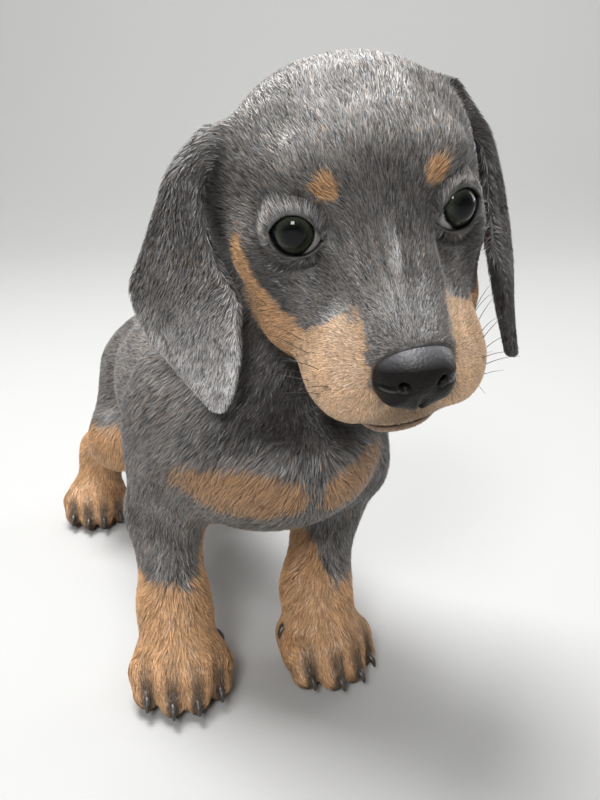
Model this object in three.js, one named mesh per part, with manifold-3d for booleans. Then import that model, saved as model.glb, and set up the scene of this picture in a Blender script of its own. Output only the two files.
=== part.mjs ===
// A dachshund puppy of about eight weeks, standing on four feet, at life size.
// Millimetres, +Z up. The puppy faces -Y and its own left side is +X.
// The flesh is one smooth field of distances, made of named masses that melt
// into each other. Each node is a stretch of that field, parted from the next
// by a thin cut.

import * as THREE from "three";
import { mergeVertices } from "three/addons/utils/BufferGeometryUtils.js";
import Module from "manifold-3d";

const wasm = await Module();
wasm.setup();

// Driving dimensions of the whole animal
const gap = 0.3;
const shortestEdge = 0.04;
const originShift = [-11.2, -28.2, 0];

// How far apart the surface points of each node stand
const spacing = {
  torso: 10,
  neck: 9,
  head: 4.8,
  muzzle: 3.1,
  thigh: 6.8,
  foreleg: 5.6,
  shank: 5.4,
  paw: 3.9,
  tail: 5,
  nose: 2.2,
};

// The head's place: the point midway between the eyes, and three turns in degrees
const headPlace = { at: [12.3, -91.7, 154.9], yaw: -9, pitch: 34, roll: -9.5 };

const eye = { side: 18.6, back: 0, up: -2, radius: 7.3, gazeOut: 24, gazeRise: 18, lid: 1.3 };
const lids = { middle: 0.8, outer: 5.7, inner: 6.9, top: 5.2, low: 4.9 };
const orbit = { ahead: 16, radius: 11 };
const ear = {
  thick: 3,
  sunk: 6,
  clear: 2.3,
  left: { root: [34, 21, 5.5], flare: 33, lean: 11.5 },
  right: { root: [33.6, 21, 3.7], flare: 35, lean: 3 },
};
const pawSize = { foreWidth: 29.5, hindWidth: 27 };

// Vector helpers on plain arrays
const add = (a, b) => [a[0] + b[0], a[1] + b[1], a[2] + b[2]];
const minus = (a, b) => [a[0] - b[0], a[1] - b[1], a[2] - b[2]];
const times = (a, s) => [a[0] * s, a[1] * s, a[2] * s];
const dot = (a, b) => a[0] * b[0] + a[1] * b[1] + a[2] * b[2];
const long = (a) => Math.hypot(a[0], a[1], a[2]);
const unit = (a) => times(a, 1 / long(a));
const cross = (a, b) => [
  a[1] * b[2] - a[2] * b[1],
  a[2] * b[0] - a[0] * b[2],
  a[0] * b[1] - a[1] * b[0],
];
const mix = (a, b, t) => add(times(a, 1 - t), times(b, t));
const mirrored = (p, side) => [p[0] * side, p[1], p[2]];
const degrees = Math.PI / 180;

// A turned frame: its columns are its own x, y and z directions
function frameOf({ at, yaw = 0, pitch = 0, roll = 0 }) {
  const turn = new THREE.Euler(pitch * degrees, roll * degrees, yaw * degrees, "ZXY");
  const m = new THREE.Matrix4().makeRotationFromEuler(turn).elements;
  const axes = [
    [m[0], m[1], m[2]],
    [m[4], m[5], m[6]],
    [m[8], m[9], m[10]],
  ];
  return {
    out: (p) => add(at, add(times(axes[0], p[0]), add(times(axes[1], p[1]), times(axes[2], p[2])))),
    into: (p) => {
      const d = minus(p, at);
      return [dot(d, axes[0]), dot(d, axes[1]), dot(d, axes[2])];
    },
    axes,
  };
}
const headFrame = frameOf(headPlace);

// Masses: distances to an ellipsoid and to a limb whose radius changes along it
function ball(centre, radii) {
  return (p) => {
    const d = minus(p, centre);
    const q = [d[0] / radii[0], d[1] / radii[1], d[2] / radii[2]];
    const g = [q[0] / radii[0], q[1] / radii[1], q[2] / radii[2]];
    const k = long(q);
    return k < 1e-6 ? -Math.min(...radii) : (k * (k - 1)) / long(g);
  };
}

function limb(a, b, ra, rb) {
  const ab = minus(b, a);
  const l2 = dot(ab, ab);
  return (p) => {
    const t = Math.min(1, Math.max(0, dot(minus(p, a), ab) / l2));
    return long(minus(p, add(a, times(ab, t)))) - (ra + (rb - ra) * t);
  };
}

function melt(a, b, k) {
  const h = Math.max(k - Math.abs(a - b), 0) / k;
  return Math.min(a, b) - (h * h * k) / 4;
}

function together(masses, k) {
  return (p) => masses.reduce((d, mass) => melt(d, mass(p), k), 1e3);
}

// Both sides of the head, from one mass of the left side
const pair = (make) => [make(1), make(-1)];

const headMasses = together(
  [
    ball([0, 21.6, 0.6], [31.2, 27.2, 22]),
    ball([0, 8, 6], [23, 16, 15]),
    ...pair((s) => ball([s * 20.6, 12, -15], [13.2, 19, 15])),
    ...pair((s) => ball([s * 13, 3, 11], [9, 6, 5])),
    ball([-27.2, 26, -14], [10.5, 13, 17]),
    ball([25.5, 24, -12], [9.5, 13, 16]),
    ...pair((s) => limb([s * 23, 26, -14], [s * 14, 21, -46], 11, 13)),
    ...pair((s) => ball([s * 18, -1, -27.5], [11.7, 16, 10.6])),
    ...pair((s) => limb([s * 18, 4, -16], [s * 11, -19, -21], 10, 8)),
    limb([0, -6, -5.5], [0, -31, -16], 14.5, 11),
    ...pair((s) => ball([s * 11.5, -23.8, -26.8], [11.4, 15.6, 12.6])),
    ...pair((s) => limb([s * 3.5, -30, -37.5], [s * 11, 5, -31], 6.8, 9.5)),
  ],
  6,
);

const eyeCentre = (s) => [s * eye.side, eye.back, eye.up];

// The way the lids face, and the two directions across their opening
function eyeAxes(s) {
  const out = eye.gazeOut * degrees;
  const rise = eye.gazeRise * degrees;
  const level = [s * Math.sin(out), -Math.cos(out), 0];
  return {
    gaze: add(times(level, Math.cos(rise)), [0, 0, Math.sin(rise)]),
    up: add(times(level, -Math.sin(rise)), [0, 0, Math.cos(rise)]),
    inward: [-s * Math.cos(out), -Math.sin(out), 0],
  };
}

function headField(p) {
  const q = headFrame.into(p);
  let d = headMasses(q);
  for (const s of [1, -1]) {
    const ahead = add(eyeCentre(s), times(eyeAxes(s).gaze, orbit.ahead));
    d = -melt(-d, long(minus(q, ahead)) - orbit.radius, 8);
    d = melt(d, long(minus(q, eyeCentre(s))) - (eye.radius + eye.lid), 3);
  }
  return d;
}

const neckField = limb([4, -34, 92], headFrame.out([0, 36, -13]), 31, 21);

const trunk = together(
  [
    ball([2, -26, 82], [33, 46, 28]),
    ball([5, -58, 82], [27, 24, 20]),
    ball([1, 26, 78], [27, 46, 27]),
    limb([1, -14, 90], [4, 68, 82], 20, 18),
    ball([6, 74, 77], [22, 26, 22]),
  ],
  12,
);

const legs = {
  foreleg_right: {
    shoulder: [-21, -28, 82],
    elbow: [-24.5, -27, 56],
    wrist: [-26.5, -39, 27],
    paw: [-27.3, -45, 0],
    heading: 12,
  },
  foreleg_left: {
    shoulder: [29.5, -42, 84],
    elbow: [28, -39, 56],
    wrist: [19.5, -48, 27],
    paw: [19.5, -53, 0],
    heading: -6,
  },
  hindleg_right: {
    hip: [-4, 80, 72],
    knee: [-17, 66, 48],
    hock: [-20, 99, 31],
    paw: [-26, 92, 0],
    heading: 14,
  },
  hindleg_left: {
    hip: [14, 82, 72],
    knee: [24, 70, 48],
    hock: [27, 102, 31],
    paw: [30, 95, 0],
    heading: -14,
  },
};

function forelegField(leg) {
  const { shoulder, elbow, wrist, paw } = leg;
  return together(
    [
      ball(shoulder, [14.6, 19, 25]),
      limb(add(shoulder, [0, -4, -14]), elbow, 15.4, 11.6),
      limb(elbow, wrist, 11.6, 10.1),
      limb(wrist, add(paw, [0, -1, 12]), 10.6, 12.2),
    ],
    8,
  );
}

function hindlegField(leg) {
  const { hip, knee, hock, paw } = leg;
  return together(
    [
      limb(hip, knee, 18, 13.5),
      limb(knee, hock, 13, 9),
      limb(hock, add(paw, [0, 2, 12]), 9.5, 9.5),
    ],
    8,
  );
}

// A paw in its own frame: toes towards -y, resting on z = 0
function pawField(leg, width) {
  const frame = frameOf({ at: leg.paw, yaw: -leg.heading });
  const w = width / 33;
  const toes = [-1.5, -0.5, 0.5, 1.5].map((n) => {
    const reach = Math.abs(n) > 1 ? -7.5 : -12.5;
    return together(
      [
        limb([n * 6.2 * w, reach + 14, 12], [n * 8.1 * w, reach + 4, 11], 5.2 * w, 5.6 * w),
        limb([n * 8.1 * w, reach + 4, 10.5], [n * 8.3 * w, reach - 0.5, 6], 5.6 * w, 5 * w),
      ],
      3,
    );
  });
  const palm = ball([0, 1, 9], [13 * w, 14, 9]);
  const pads = [
    ball([0, 2, 3.4], [8.5 * w, 7, 4.4]),
    ...[-1.5, -0.5, 0.5, 1.5].map((n) => {
      const reach = Math.abs(n) > 1 ? -6 : -11;
      return ball([n * 7.9 * w, reach, 3.2], [4 * w, 5, 4.1]);
    }),
  ];
  const flesh = together([palm, together(toes, 1.6)], 5);
  const foot = together([flesh, ...pads], 2);
  return { frame, width, field: (p) => foot(frame.into(p)) };
}

const tailPath = [
  [0, 98, 82],
  [4, 115, 77],
  [9, 132, 68],
  [14, 149, 59],
  [18.5, 163, 52.5],
  [22.5, 176, 49],
];
const tailRadii = [9.6, 8.6, 7.5, 6.4, 5.2, 3.6];
const tailField = together(
  tailPath.slice(1).map((p, i) => limb(tailPath[i], p, tailRadii[i], tailRadii[i + 1])),
  2,
);

const paws = {
  forepaw_right: pawField(legs.foreleg_right, pawSize.foreWidth),
  forepaw_left: pawField(legs.foreleg_left, pawSize.foreWidth),
  hindpaw_right: pawField(legs.hindleg_right, pawSize.hindWidth),
  hindpaw_left: pawField(legs.hindleg_left, pawSize.hindWidth),
};

const forelegs = [forelegField(legs.foreleg_right), forelegField(legs.foreleg_left)];
const hindlegs = [hindlegField(legs.hindleg_right), hindlegField(legs.hindleg_left)];

function flesh(p) {
  let d = melt(trunk(p), neckField(p), 22);
  d = melt(d, tailField(p), 10);
  for (const leg of forelegs) d = melt(d, leg(p), 8);
  for (const leg of hindlegs) d = melt(d, leg(p), 10);
  d = melt(d, headField(p), 9);
  for (const paw of Object.values(paws)) d = melt(d, paw.field(p), 6);
  return d;
}

// Surface points of a field on a grid, one in each cell that the surface crosses
function steps(low, high, step) {
  const count = Math.ceil((high - low) / step);
  return Array.from({ length: count + 1 }, (_, i) => low + ((high - low) * i) / count);
}

// Where a crease is finer than the grid the surface would touch itself. There the
// nearest corner outside is counted as flesh, until no cell is left like that.
function fillPinches(values, [nx, ny, nz], corners) {
  const faces = [0, 1, 2].flatMap((axis) =>
    [0, 1].map((side) => corners.map((_, n) => n).filter((n) => corners[n][axis] === side)),
  );
  const split = (inside, n, m, others) =>
    inside[n] === inside[m] && others.every((o) => inside[o] !== inside[n]);
  const pinched = (inside) =>
    faces.some(([a, b, c, d]) => split(inside, a, d, [b, c])) ||
    [0, 1, 2, 3].some((n) => {
      const others = corners.map((_, m) => m).filter((m) => m !== n && m !== 7 - n);
      return split(inside, n, 7 - n, others);
    });
  let changed = true;
  while (changed) {
    changed = false;
    for (let k = 0; k < nz - 1; k++) {
      for (let j = 0; j < ny - 1; j++) {
        for (let i = 0; i < nx - 1; i++) {
          const at = corners.map(([a, b, c]) => i + a + nx * (j + b + ny * (k + c)));
          if (!pinched(at.map((n) => values[n] < 0))) continue;
          const outside = at.filter((n) => values[n] >= 0);
          const nearest = outside.reduce((a, b) => (values[b] < values[a] ? b : a));
          values[nearest] = -0.01;
          changed = true;
        }
      }
    }
  }
}

function surface(field, xs, ys, zs) {
  const nx = xs.length;
  const ny = ys.length;
  const nz = zs.length;
  const at = (i, j, k) => i + nx * (j + ny * k);
  const values = new Float64Array(nx * ny * nz);
  const edge = (i, n) => i === 0 || i === n - 1;
  for (let k = 0; k < nz; k++) {
    for (let j = 0; j < ny; j++) {
      for (let i = 0; i < nx; i++) {
        const outside = edge(i, nx) || edge(j, ny) || edge(k, nz);
        const d = field([xs[i], ys[j], zs[k]]);
        values[at(i, j, k)] = outside ? Math.max(d, 0.5) : d;
      }
    }
  }
  const cell = new Map();
  const points = [];
  const corners = [0, 1, 2, 3, 4, 5, 6, 7].map((n) => [n & 1, (n >> 1) & 1, (n >> 2) & 1]);
  fillPinches(values, [nx, ny, nz], corners);
  const edges = [];
  for (let a = 0; a < 8; a++) {
    for (const bit of [1, 2, 4]) {
      if (!(a & bit)) edges.push([a, a | bit]);
    }
  }
  for (let k = 0; k < nz - 1; k++) {
    for (let j = 0; j < ny - 1; j++) {
      for (let i = 0; i < nx - 1; i++) {
        const d = corners.map(([a, b, c]) => values[at(i + a, j + b, k + c)]);
        const inside = d.filter((v) => v < 0).length;
        if (inside === 0 || inside === 8) continue;
        let sum = [0, 0, 0];
        let count = 0;
        for (const [a, b] of edges) {
          if (d[a] < 0 === d[b] < 0) continue;
          const t = d[a] / (d[a] - d[b]);
          const q = corners[a].map((c, n) => c + (corners[b][n] - c) * t);
          sum = add(sum, q);
          count += 1;
        }
        const q = times(sum, 1 / count);
        const p = [
          xs[i] + (xs[i + 1] - xs[i]) * q[0],
          ys[j] + (ys[j + 1] - ys[j]) * q[1],
          zs[k] + (zs[k + 1] - zs[k]) * q[2],
        ];
        const reach = 0.45 * Math.min(xs[i + 1] - xs[i], ys[j + 1] - ys[j], zs[k + 1] - zs[k]);
        const capped = edge(i, nx - 1) || edge(j, ny - 1) || edge(k, nz - 1);
        cell.set(at(i, j, k), points.length);
        points.push(capped ? p : settle(field, p, reach));
      }
    }
  }
  const index = [];
  const quad = (a, b, c, d, flip) => {
    const pa = points[a];
    const pc = points[c];
    const shorter = long(minus(pa, pc)) < long(minus(points[b], points[d]));
    const tris = shorter ? [a, b, c, a, c, d] : [a, b, d, b, c, d];
    for (let n = 0; n < 6; n += 3) {
      if (flip) index.push(tris[n], tris[n + 2], tris[n + 1]);
      else index.push(tris[n], tris[n + 1], tris[n + 2]);
    }
  };
  const c = (i, j, k) => cell.get(at(i, j, k));
  for (let k = 0; k < nz; k++) {
    for (let j = 0; j < ny; j++) {
      for (let i = 0; i < nx; i++) {
        const here = values[at(i, j, k)] < 0;
        if (i < nx - 1 && here !== values[at(i + 1, j, k)] < 0) {
          quad(c(i, j - 1, k - 1), c(i, j, k - 1), c(i, j, k), c(i, j - 1, k), !here);
        }
        if (j < ny - 1 && here !== values[at(i, j + 1, k)] < 0) {
          quad(c(i - 1, j, k - 1), c(i - 1, j, k), c(i, j, k), c(i, j, k - 1), !here);
        }
        if (k < nz - 1 && here !== values[at(i, j, k + 1)] < 0) {
          quad(c(i - 1, j - 1, k), c(i, j - 1, k), c(i, j, k), c(i - 1, j, k), !here);
        }
      }
    }
  }
  return { points, index };
}

// Moves a point onto the field's surface, by no more than reach
function settle(field, start, reach) {
  const h = 0.2;
  let p = start;
  for (let n = 0; n < 4; n++) {
    const d = field(p);
    const g = [0, 1, 2].map((axis) => {
      const a = [...p];
      const b = [...p];
      a[axis] += h;
      b[axis] -= h;
      return (field(a) - field(b)) / (2 * h);
    });
    const g2 = Math.max(dot(g, g), 0.05);
    p = add(p, times(g, -d / g2));
    const moved = minus(p, start);
    if (long(moved) > reach) {
      p = add(start, times(unit(moved), reach));
      break;
    }
  }
  return p;
}

// Solids: a mesh goes in, joins and cuts are made, and a mesh comes out
function solid({ points, index }) {
  return new wasm.Manifold(
    new wasm.Mesh({
      numProp: 3,
      vertProperties: new Float32Array(points.flat()),
      triVerts: new Uint32Array(index),
    }),
  );
}

function largest(body) {
  const pieces = body.decompose();
  return pieces.reduce((a, b) => (b.volume() > a.volume() ? b : a));
}

function solidOf(geometry) {
  const bare = geometry.clone();
  bare.deleteAttribute("normal");
  bare.deleteAttribute("uv");
  const merged = mergeVertices(bare, 1e-4);
  return new wasm.Manifold(
    new wasm.Mesh({
      numProp: 3,
      vertProperties: new Float32Array(merged.attributes.position.array),
      triVerts: new Uint32Array(merged.index.array),
    }),
  );
}

// Draws the ends of very short edges together, which cuts leave behind
function welded({ vertProperties, triVerts }) {
  const points = [];
  for (let n = 0; n < vertProperties.length; n += 3) {
    points.push([vertProperties[n], vertProperties[n + 1], vertProperties[n + 2]]);
  }
  const chief = points.map((_, n) => n);
  const find = (n) => (chief[n] === n ? n : (chief[n] = find(chief[n])));
  for (let t = 0; t < triVerts.length; t += 3) {
    for (let e = 0; e < 3; e++) {
      const a = find(triVerts[t + e]);
      const b = find(triVerts[t + ((e + 1) % 3)]);
      if (a !== b && long(minus(points[a], points[b])) < shortestEdge) chief[b] = a;
    }
  }
  const index = [];
  const seen = new Map();
  for (let t = 0; t < triVerts.length; t += 3) {
    const tri = [find(triVerts[t]), find(triVerts[t + 1]), find(triVerts[t + 2])];
    if (tri[0] === tri[1] || tri[1] === tri[2] || tri[2] === tri[0]) continue;
    const key = [...tri].sort((a, b) => a - b).join();
    if (seen.has(key)) seen.set(key, null);
    else seen.set(key, tri);
  }
  for (const tri of seen.values()) {
    if (tri) index.push(...tri);
  }
  return { points, index };
}

function geometryOf(body) {
  const clean = largest(solid(welded(largest(body).getMesh())));
  const mesh = clean.getMesh();
  const geometry = new THREE.BufferGeometry();
  geometry.setAttribute("position", new THREE.Float32BufferAttribute(mesh.vertProperties, 3));
  geometry.setIndex(Array.from(mesh.triVerts));
  return geometry;
}

// A block with its own frame, used to part nodes: its centre lies at frame point c
function block(frame, low, high) {
  const size = minus(high, low);
  const box = new THREE.BoxGeometry(size[0], size[1], size[2]);
  const middle = mix(low, high, 0.5);
  const position = box.attributes.position;
  for (let n = 0; n < position.count; n++) {
    const local = [position.getX(n), position.getY(n), position.getZ(n)];
    const p = frame.out(add(local, middle));
    position.setXYZ(n, p[0], p[1], p[2]);
  }
  return solidOf(box);
}

// A closed skin through rings of points, each end closed to its middle
function loft(rings) {
  const points = rings.flat();
  const n = rings[0].length;
  const index = [];
  for (let r = 0; r < rings.length - 1; r++) {
    for (let i = 0; i < n; i++) {
      const a = r * n + i;
      const b = r * n + ((i + 1) % n);
      index.push(a, b, b + n, a, b + n, a + n);
    }
  }
  for (const [r, flip] of [
    [0, true],
    [rings.length - 1, false],
  ]) {
    const middle = times(rings[r].reduce(add), 1 / n);
    const m = points.length;
    points.push(middle);
    for (let i = 0; i < n; i++) {
      const a = r * n + i;
      const b = r * n + ((i + 1) % n);
      if (flip) index.push(m, b, a);
      else index.push(m, a, b);
    }
  }
  const body = solid({ points, index });
  if (body.volume() > 0) return body;
  for (let t = 0; t < index.length; t += 3) {
    [index[t], index[t + 1]] = [index[t + 1], index[t]];
  }
  return solid({ points, index });
}

const world = frameOf({ at: [0, 0, 0] });
const far = 400;

// Cutting frames: each plane is z = 0 of its frame
const planeFrame = (at, pitch, yaw = 0, roll = 0) => frameOf({ at, pitch, yaw, roll });
const above = (frame, from = -gap / 2) => block(frame, [-far, -far, from], [far, far, far]);
const below = (frame, to = gap / 2) => block(frame, [-far, -far, -far], [far, far, to]);

const napeCut = frameOf({ ...headPlace, at: headFrame.out([0, 14, -36]), pitch: headPlace.pitch + 48 });
const throatCut = frameOf({ ...headPlace, at: headFrame.out([0, 14, -47]) });
const headRegion = (grow) => above(napeCut, -grow).intersect(above(throatCut, -grow));
const neckCut = planeFrame([2, -48, 100], 19);
const tailCut = planeFrame([-2, 107, 88], 75);

// Mouth: the line from the front of the lips to the corner, in the head's frame
const mouthLine = [
  [-60, -37.3],
  [-38, -37.3],
  [-28, -38.2],
  [-16, -37],
  [-5, -32],
];
const jawBack = [-3, -60];

function mouthSheet() {
  const shape = new THREE.Shape();
  const line = [...mouthLine, jawBack];
  shape.moveTo(line[0][0], line[0][1] + gap / 2);
  for (const [y, z] of line.slice(1, -1)) shape.lineTo(y, z + gap / 2);
  shape.lineTo(jawBack[0] + gap, jawBack[1]);
  shape.lineTo(jawBack[0], jawBack[1]);
  for (const [y, z] of line.slice(0, -1).reverse()) {
    const corner = y === mouthLine.at(-1)[0];
    shape.lineTo(corner ? y - 0.1 : y, z - gap / 2);
  }
  shape.closePath();
  const slab = new THREE.ExtrudeGeometry(shape, { depth: 120, bevelEnabled: false });
  const position = slab.attributes.position;
  for (let n = 0; n < position.count; n++) {
    const p = headFrame.out([position.getZ(n) - 60, position.getX(n), position.getY(n)]);
    position.setXYZ(n, p[0], p[1], p[2]);
  }
  const sheet = solidOf(slab);
  return sheet.volume() > 0 ? sheet : null;
}

// A stretch of the flesh between two corners of a frame
function stretch(frame, low, high, step, inflate = 0) {
  const field = (p) => flesh(frame.out(p)) - inflate;
  const grid = [0, 1, 2].map((n) => steps(low[n], high[n], step));
  const { points, index } = surface(field, ...grid);
  return solid({ points: points.map(frame.out), index });
}

const materials = {
  coat: { color: 0x4d5158, roughness: 0.85, metalness: 0 },
  tan: { color: 0xb07a4c, roughness: 0.85, metalness: 0 },
  nose: { color: 0x23262b, roughness: 0.45, metalness: 0 },
  eye: { color: 0x14181a, roughness: 0.1, metalness: 0 },
};

const puppy = new THREE.Group();

function node(name, body, material, pivot = [0, 0, 0]) {
  const geometry = geometryOf(body);
  geometry.translate(...times(pivot, -1));
  const mesh = new THREE.Mesh(geometry, new THREE.MeshStandardMaterial(materials[material]));
  mesh.name = name;
  mesh.position.set(...pivot);
  puppy.add(mesh);
}

// Head
const headLow = [-46, -52, -54];
const headHigh = [46, 66, 42];
function headGrid() {
  const ys = [
    ...steps(headLow[1], -2, spacing.muzzle).slice(0, -1),
    ...steps(-2, headHigh[1], spacing.head),
  ];
  return [
    steps(headLow[0], headHigh[0], 0.5 * (spacing.head + spacing.muzzle)),
    ys,
    steps(headLow[2], headHigh[2], 0.5 * (spacing.head + spacing.muzzle)),
  ];
}
function headSolid(inflate) {
  const { points, index } = surface((p) => flesh(headFrame.out(p)) - inflate, ...headGrid());
  return solid({ points: points.map(headFrame.out), index });
}

function eyeball(s, radius) {
  const sphere = new THREE.SphereGeometry(radius, 16, 10);
  sphere.rotateX(Math.PI / 2);
  sphere.rotateX(-eye.gazeRise * degrees);
  sphere.rotateZ(s * eye.gazeOut * degrees);
  const position = sphere.attributes.position;
  for (let n = 0; n < position.count; n++) {
    const local = [position.getX(n), position.getY(n), position.getZ(n)];
    const p = headFrame.out(add(local, eyeCentre(s)));
    position.setXYZ(n, p[0], p[1], p[2]);
  }
  return solidOf(sphere);
}

// The opening between the lids: an almond, drawn out and down at its inner corner
function lidOpening(s) {
  const { gaze, up, inward } = eyeAxes(s);
  const count = 20;
  const ring = (reach, scale) =>
    Array.from({ length: count }, (_, i) => {
      const a = (2 * Math.PI * i) / count;
      const x = Math.cos(a) * (Math.cos(a) > 0 ? lids.inner : lids.outer);
      const tall = Math.sin(a) * (Math.sin(a) > 0 ? lids.top : lids.low);
      const droop = x > 0 ? 0.045 * x * x : 0;
      const z = tall * (1 - 0.25 * Math.cos(a) ** 2) - droop;
      const centre = add(eyeCentre(s), times(gaze, reach));
      const across = times(inward, lids.middle + x * scale);
      return headFrame.out(add(centre, add(across, times(up, z * scale))));
    });
  return loft([ring(2, 0.8), ring(7, 1), ring(14, 1.7)]);
}

// Nose: a broad pad with two nostrils and a groove between them, in the head's frame
const noseAt = [0, -37, -16.5];
const noseMasses = together(
  [
    ball(add(noseAt, [0, 0, 1.4]), [8.8, 7.6, 7.2]),
    ...pair((s) => ball(add(noseAt, [s * 4.8, -0.5, -1.6]), [4.6, 6.6, 5.8])),
    ball(add(noseAt, [0, -0.9, -4.6]), [5.4, 6, 5.2]),
  ],
  2.4,
);

function noseSolid(inflate) {
  const grid = [
    steps(-12, 12, spacing.nose),
    steps(-48, -26, spacing.nose),
    steps(-29, -6, spacing.nose),
  ];
  const { points, index } = surface((p) => noseMasses(p) - inflate, ...grid);
  return solid({ points: points.map(headFrame.out), index });
}

// A tapering tube with a round section along points of a frame
function tapered(frame, path, radii, sides) {
  const rings = path.map((p, i) => {
    const along = unit(minus(path[Math.min(i + 1, path.length - 1)], path[Math.max(i - 1, 0)]));
    const across = unit(cross(along, [0.3, 0.1, 1]));
    const upward = cross(across, along);
    return Array.from({ length: sides }, (_, n) => {
      const a = (2 * Math.PI * n) / sides;
      const spoke = add(times(across, Math.cos(a)), times(upward, Math.sin(a)));
      return frame.out(add(p, times(spoke, radii[i])));
    });
  });
  return loft(rings);
}

// A short curved claw at the tip of toe n, counted from the middle of the paw
function claw(frame, n, width) {
  const w = width / 33;
  const tip = Math.abs(n) > 1 ? -12.6 : -17.6;
  const x = n * 8.4 * w;
  const path = [
    [x, tip + 4, 6.8],
    [x, tip + 0.8, 6.6],
    [x * 1.02, tip - 1.2, 5.6],
    [x * 1.03, tip - 2.2, 3.8],
  ];
  return tapered(frame, path, [1.1, 1.3, 1, 0.35], 6);
}

// The short inner claw of a forefoot, higher up than the rest
function dewclaw(frame, inner) {
  const path = [
    [inner * 9, 5, 17.4],
    [inner * 12.4, 4.2, 16.4],
    [inner * 14, 3.4, 14.9],
    [inner * 14.3, 3, 13.3],
  ];
  return tapered(frame, path, [1.5, 1.4, 1, 0.35], 6);
}

function nostril(s) {
  const path = [
    [s * 4.2, -49, -14.6],
    [s * 4.3, -43, -14.2],
    [s * 4.7, -40, -13.4],
  ];
  return tapered(headFrame, path, [2.1, 1.9, 1], 8);
}

function nostrilSlit(s) {
  const path = [
    [s * 4.6, -46.5, -14.8],
    [s * 7.6, -42.5, -15.8],
    [s * 9.8, -38.5, -16.8],
  ];
  return tapered(headFrame, path, [0.9, 0.8, 0.5], 6);
}

const philtrum = tapered(
  headFrame,
  [
    [0, -45.6, -16],
    [0, -45, -20.5],
    [0, -42, -25.5],
  ],
  [0.5, 0.8, 0.5],
  6,
);

let nose = noseSolid(0);
for (const s of [1, -1]) nose = nose.subtract(nostril(s)).subtract(nostrilSlit(s));
nose = nose.subtract(philtrum);

const headWhole = headSolid(0);
const headInflated = headSolid(gap);

let head = headWhole.intersect(headRegion(0));
for (const s of [1, -1]) {
  head = head.subtract(eyeball(s, eye.radius + gap)).subtract(lidOpening(s));
}
const mouth = mouthSheet();
const headPieces = head.subtract(mouth).subtract(noseSolid(gap)).decompose();
headPieces.sort((a, b) => b.volume() - a.volume());
node("head", headPieces[0], "coat", headFrame.out([0, 30, -10]));
node("lower_jaw", headPieces[1], "tan", headFrame.out([0, -3, -24]));
for (const s of [1, -1]) {
  node(s > 0 ? "eye_left" : "eye_right", eyeball(s, eye.radius), "eye", headFrame.out(eyeCentre(s)));
}

node("nose", nose, "nose", headFrame.out(noseAt));

// Ears: a leaf that hangs from the side of the skull. In its hanging plane, u runs
// from front to rear and v runs down from the root.
const earFront = [
  [0, -8],
  [5, 3],
  [5.8, 13],
  [2.6, 24],
  [-5.6, 34],
  [-7.4, 45],
  [-6, 55.5],
  [-2.3, 62.5],
];
const earRear = [
  [7, -8],
  [12.5, -1],
  [17, 10.5],
  [22.5, 23],
  [27, 33],
  [22, 44],
  [10, 55],
  [0.5, 62.5],
];

const earOf = (s) => (s > 0 ? ear.left : ear.right);
const earRoot = (s) => headFrame.out(mirrored(earOf(s).root, s));

function earSolid(s) {
  const { flare, lean } = earOf(s);
  const a = flare * degrees;
  const b = lean * degrees;
  const rearward = [s * Math.sin(a), Math.cos(a), 0];
  const outward = [s * Math.cos(a), -Math.sin(a), 0];
  const down = add(times([0, 0, -1], Math.cos(b)), times(outward, Math.sin(b)));
  const root = earRoot(s);
  const front = new THREE.SplineCurve(earFront.map(([u, v]) => new THREE.Vector2(u, v)));
  const rear = new THREE.SplineCurve(earRear.map(([u, v]) => new THREE.Vector2(u, v)));
  const rows = 11;
  const across = 7;
  const rings = [];
  for (let r = 0; r <= rows; r++) {
    const t = r / rows;
    const f = front.getPoint(t);
    const g = rear.getPoint(t);
    const outer = [];
    const inner = [];
    for (let c = 0; c <= across; c++) {
      const w = c / across;
      const e = 2 * w - 1;
      const u = f.x + (g.x - f.x) * w;
      const v = f.y + (g.y - f.y) * w;
      const sunk = ear.sunk * Math.max(0, 1 - t * 5.5) ** 1.2;
      const hang = Math.sin(Math.PI * Math.min(1, t * 1.15));
      const frontRoll = 7 * Math.max(0, -e) ** 1.5 * Math.sin(Math.PI * Math.min(1, t * 1.5));
      const cup = 3.2 * (1 - e * e) * hang - frontRoll - sunk;
      let middle = add(root, add(times(rearward, u), times(down, v)));
      middle = add(middle, times(outward, cup));
      const free = THREE.MathUtils.smoothstep(v, 2, 12);
      for (let n = 0; n < 3; n++) {
        const push = free * Math.max(0, ear.clear - flesh(middle));
        middle = add(middle, times(outward, push));
      }
      const half = (ear.thick / 2) * (1 - 0.4 * t) * Math.sqrt(Math.max(0.06, 1 - e ** 4));
      outer.push(add(middle, times(outward, half)));
      inner.push(add(middle, times(outward, -half)));
    }
    rings.push([...outer, ...inner.reverse()]);
  }
  return loft(rings);
}

for (const s of [1, -1]) {
  node(s > 0 ? "ear_left" : "ear_right", earSolid(s).subtract(headInflated), "coat", earRoot(s));
}

// Trunk and neck. Each leg is parted from the trunk by a block whose lid slants
// down towards the middle of the body.
const legRegions = {
  foreleg_right: { at: [-10, -34, 57], slant: 28, side: -1, front: -30, back: 24 },
  foreleg_left: { at: [10, -46, 57], slant: -28, side: 1, front: -24, back: 30 },
  hindleg_right: { at: [-6, 84, 60], slant: 32, side: -1, front: -36, back: 60 },
  hindleg_left: { at: [14, 86, 60], slant: -32, side: 1, front: -36, back: 60 },
};

function legRegion({ at, slant, side, front, back }, grow) {
  const near = -side * (6 + grow);
  const wide = side * 80;
  const low = [Math.min(near, wide), front - grow, -100];
  const high = [Math.max(near, wide), back + grow, 60];
  const lid = below(frameOf({ at, roll: slant }), grow);
  return block(frameOf({ at }), low, high).intersect(lid);
}

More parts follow.
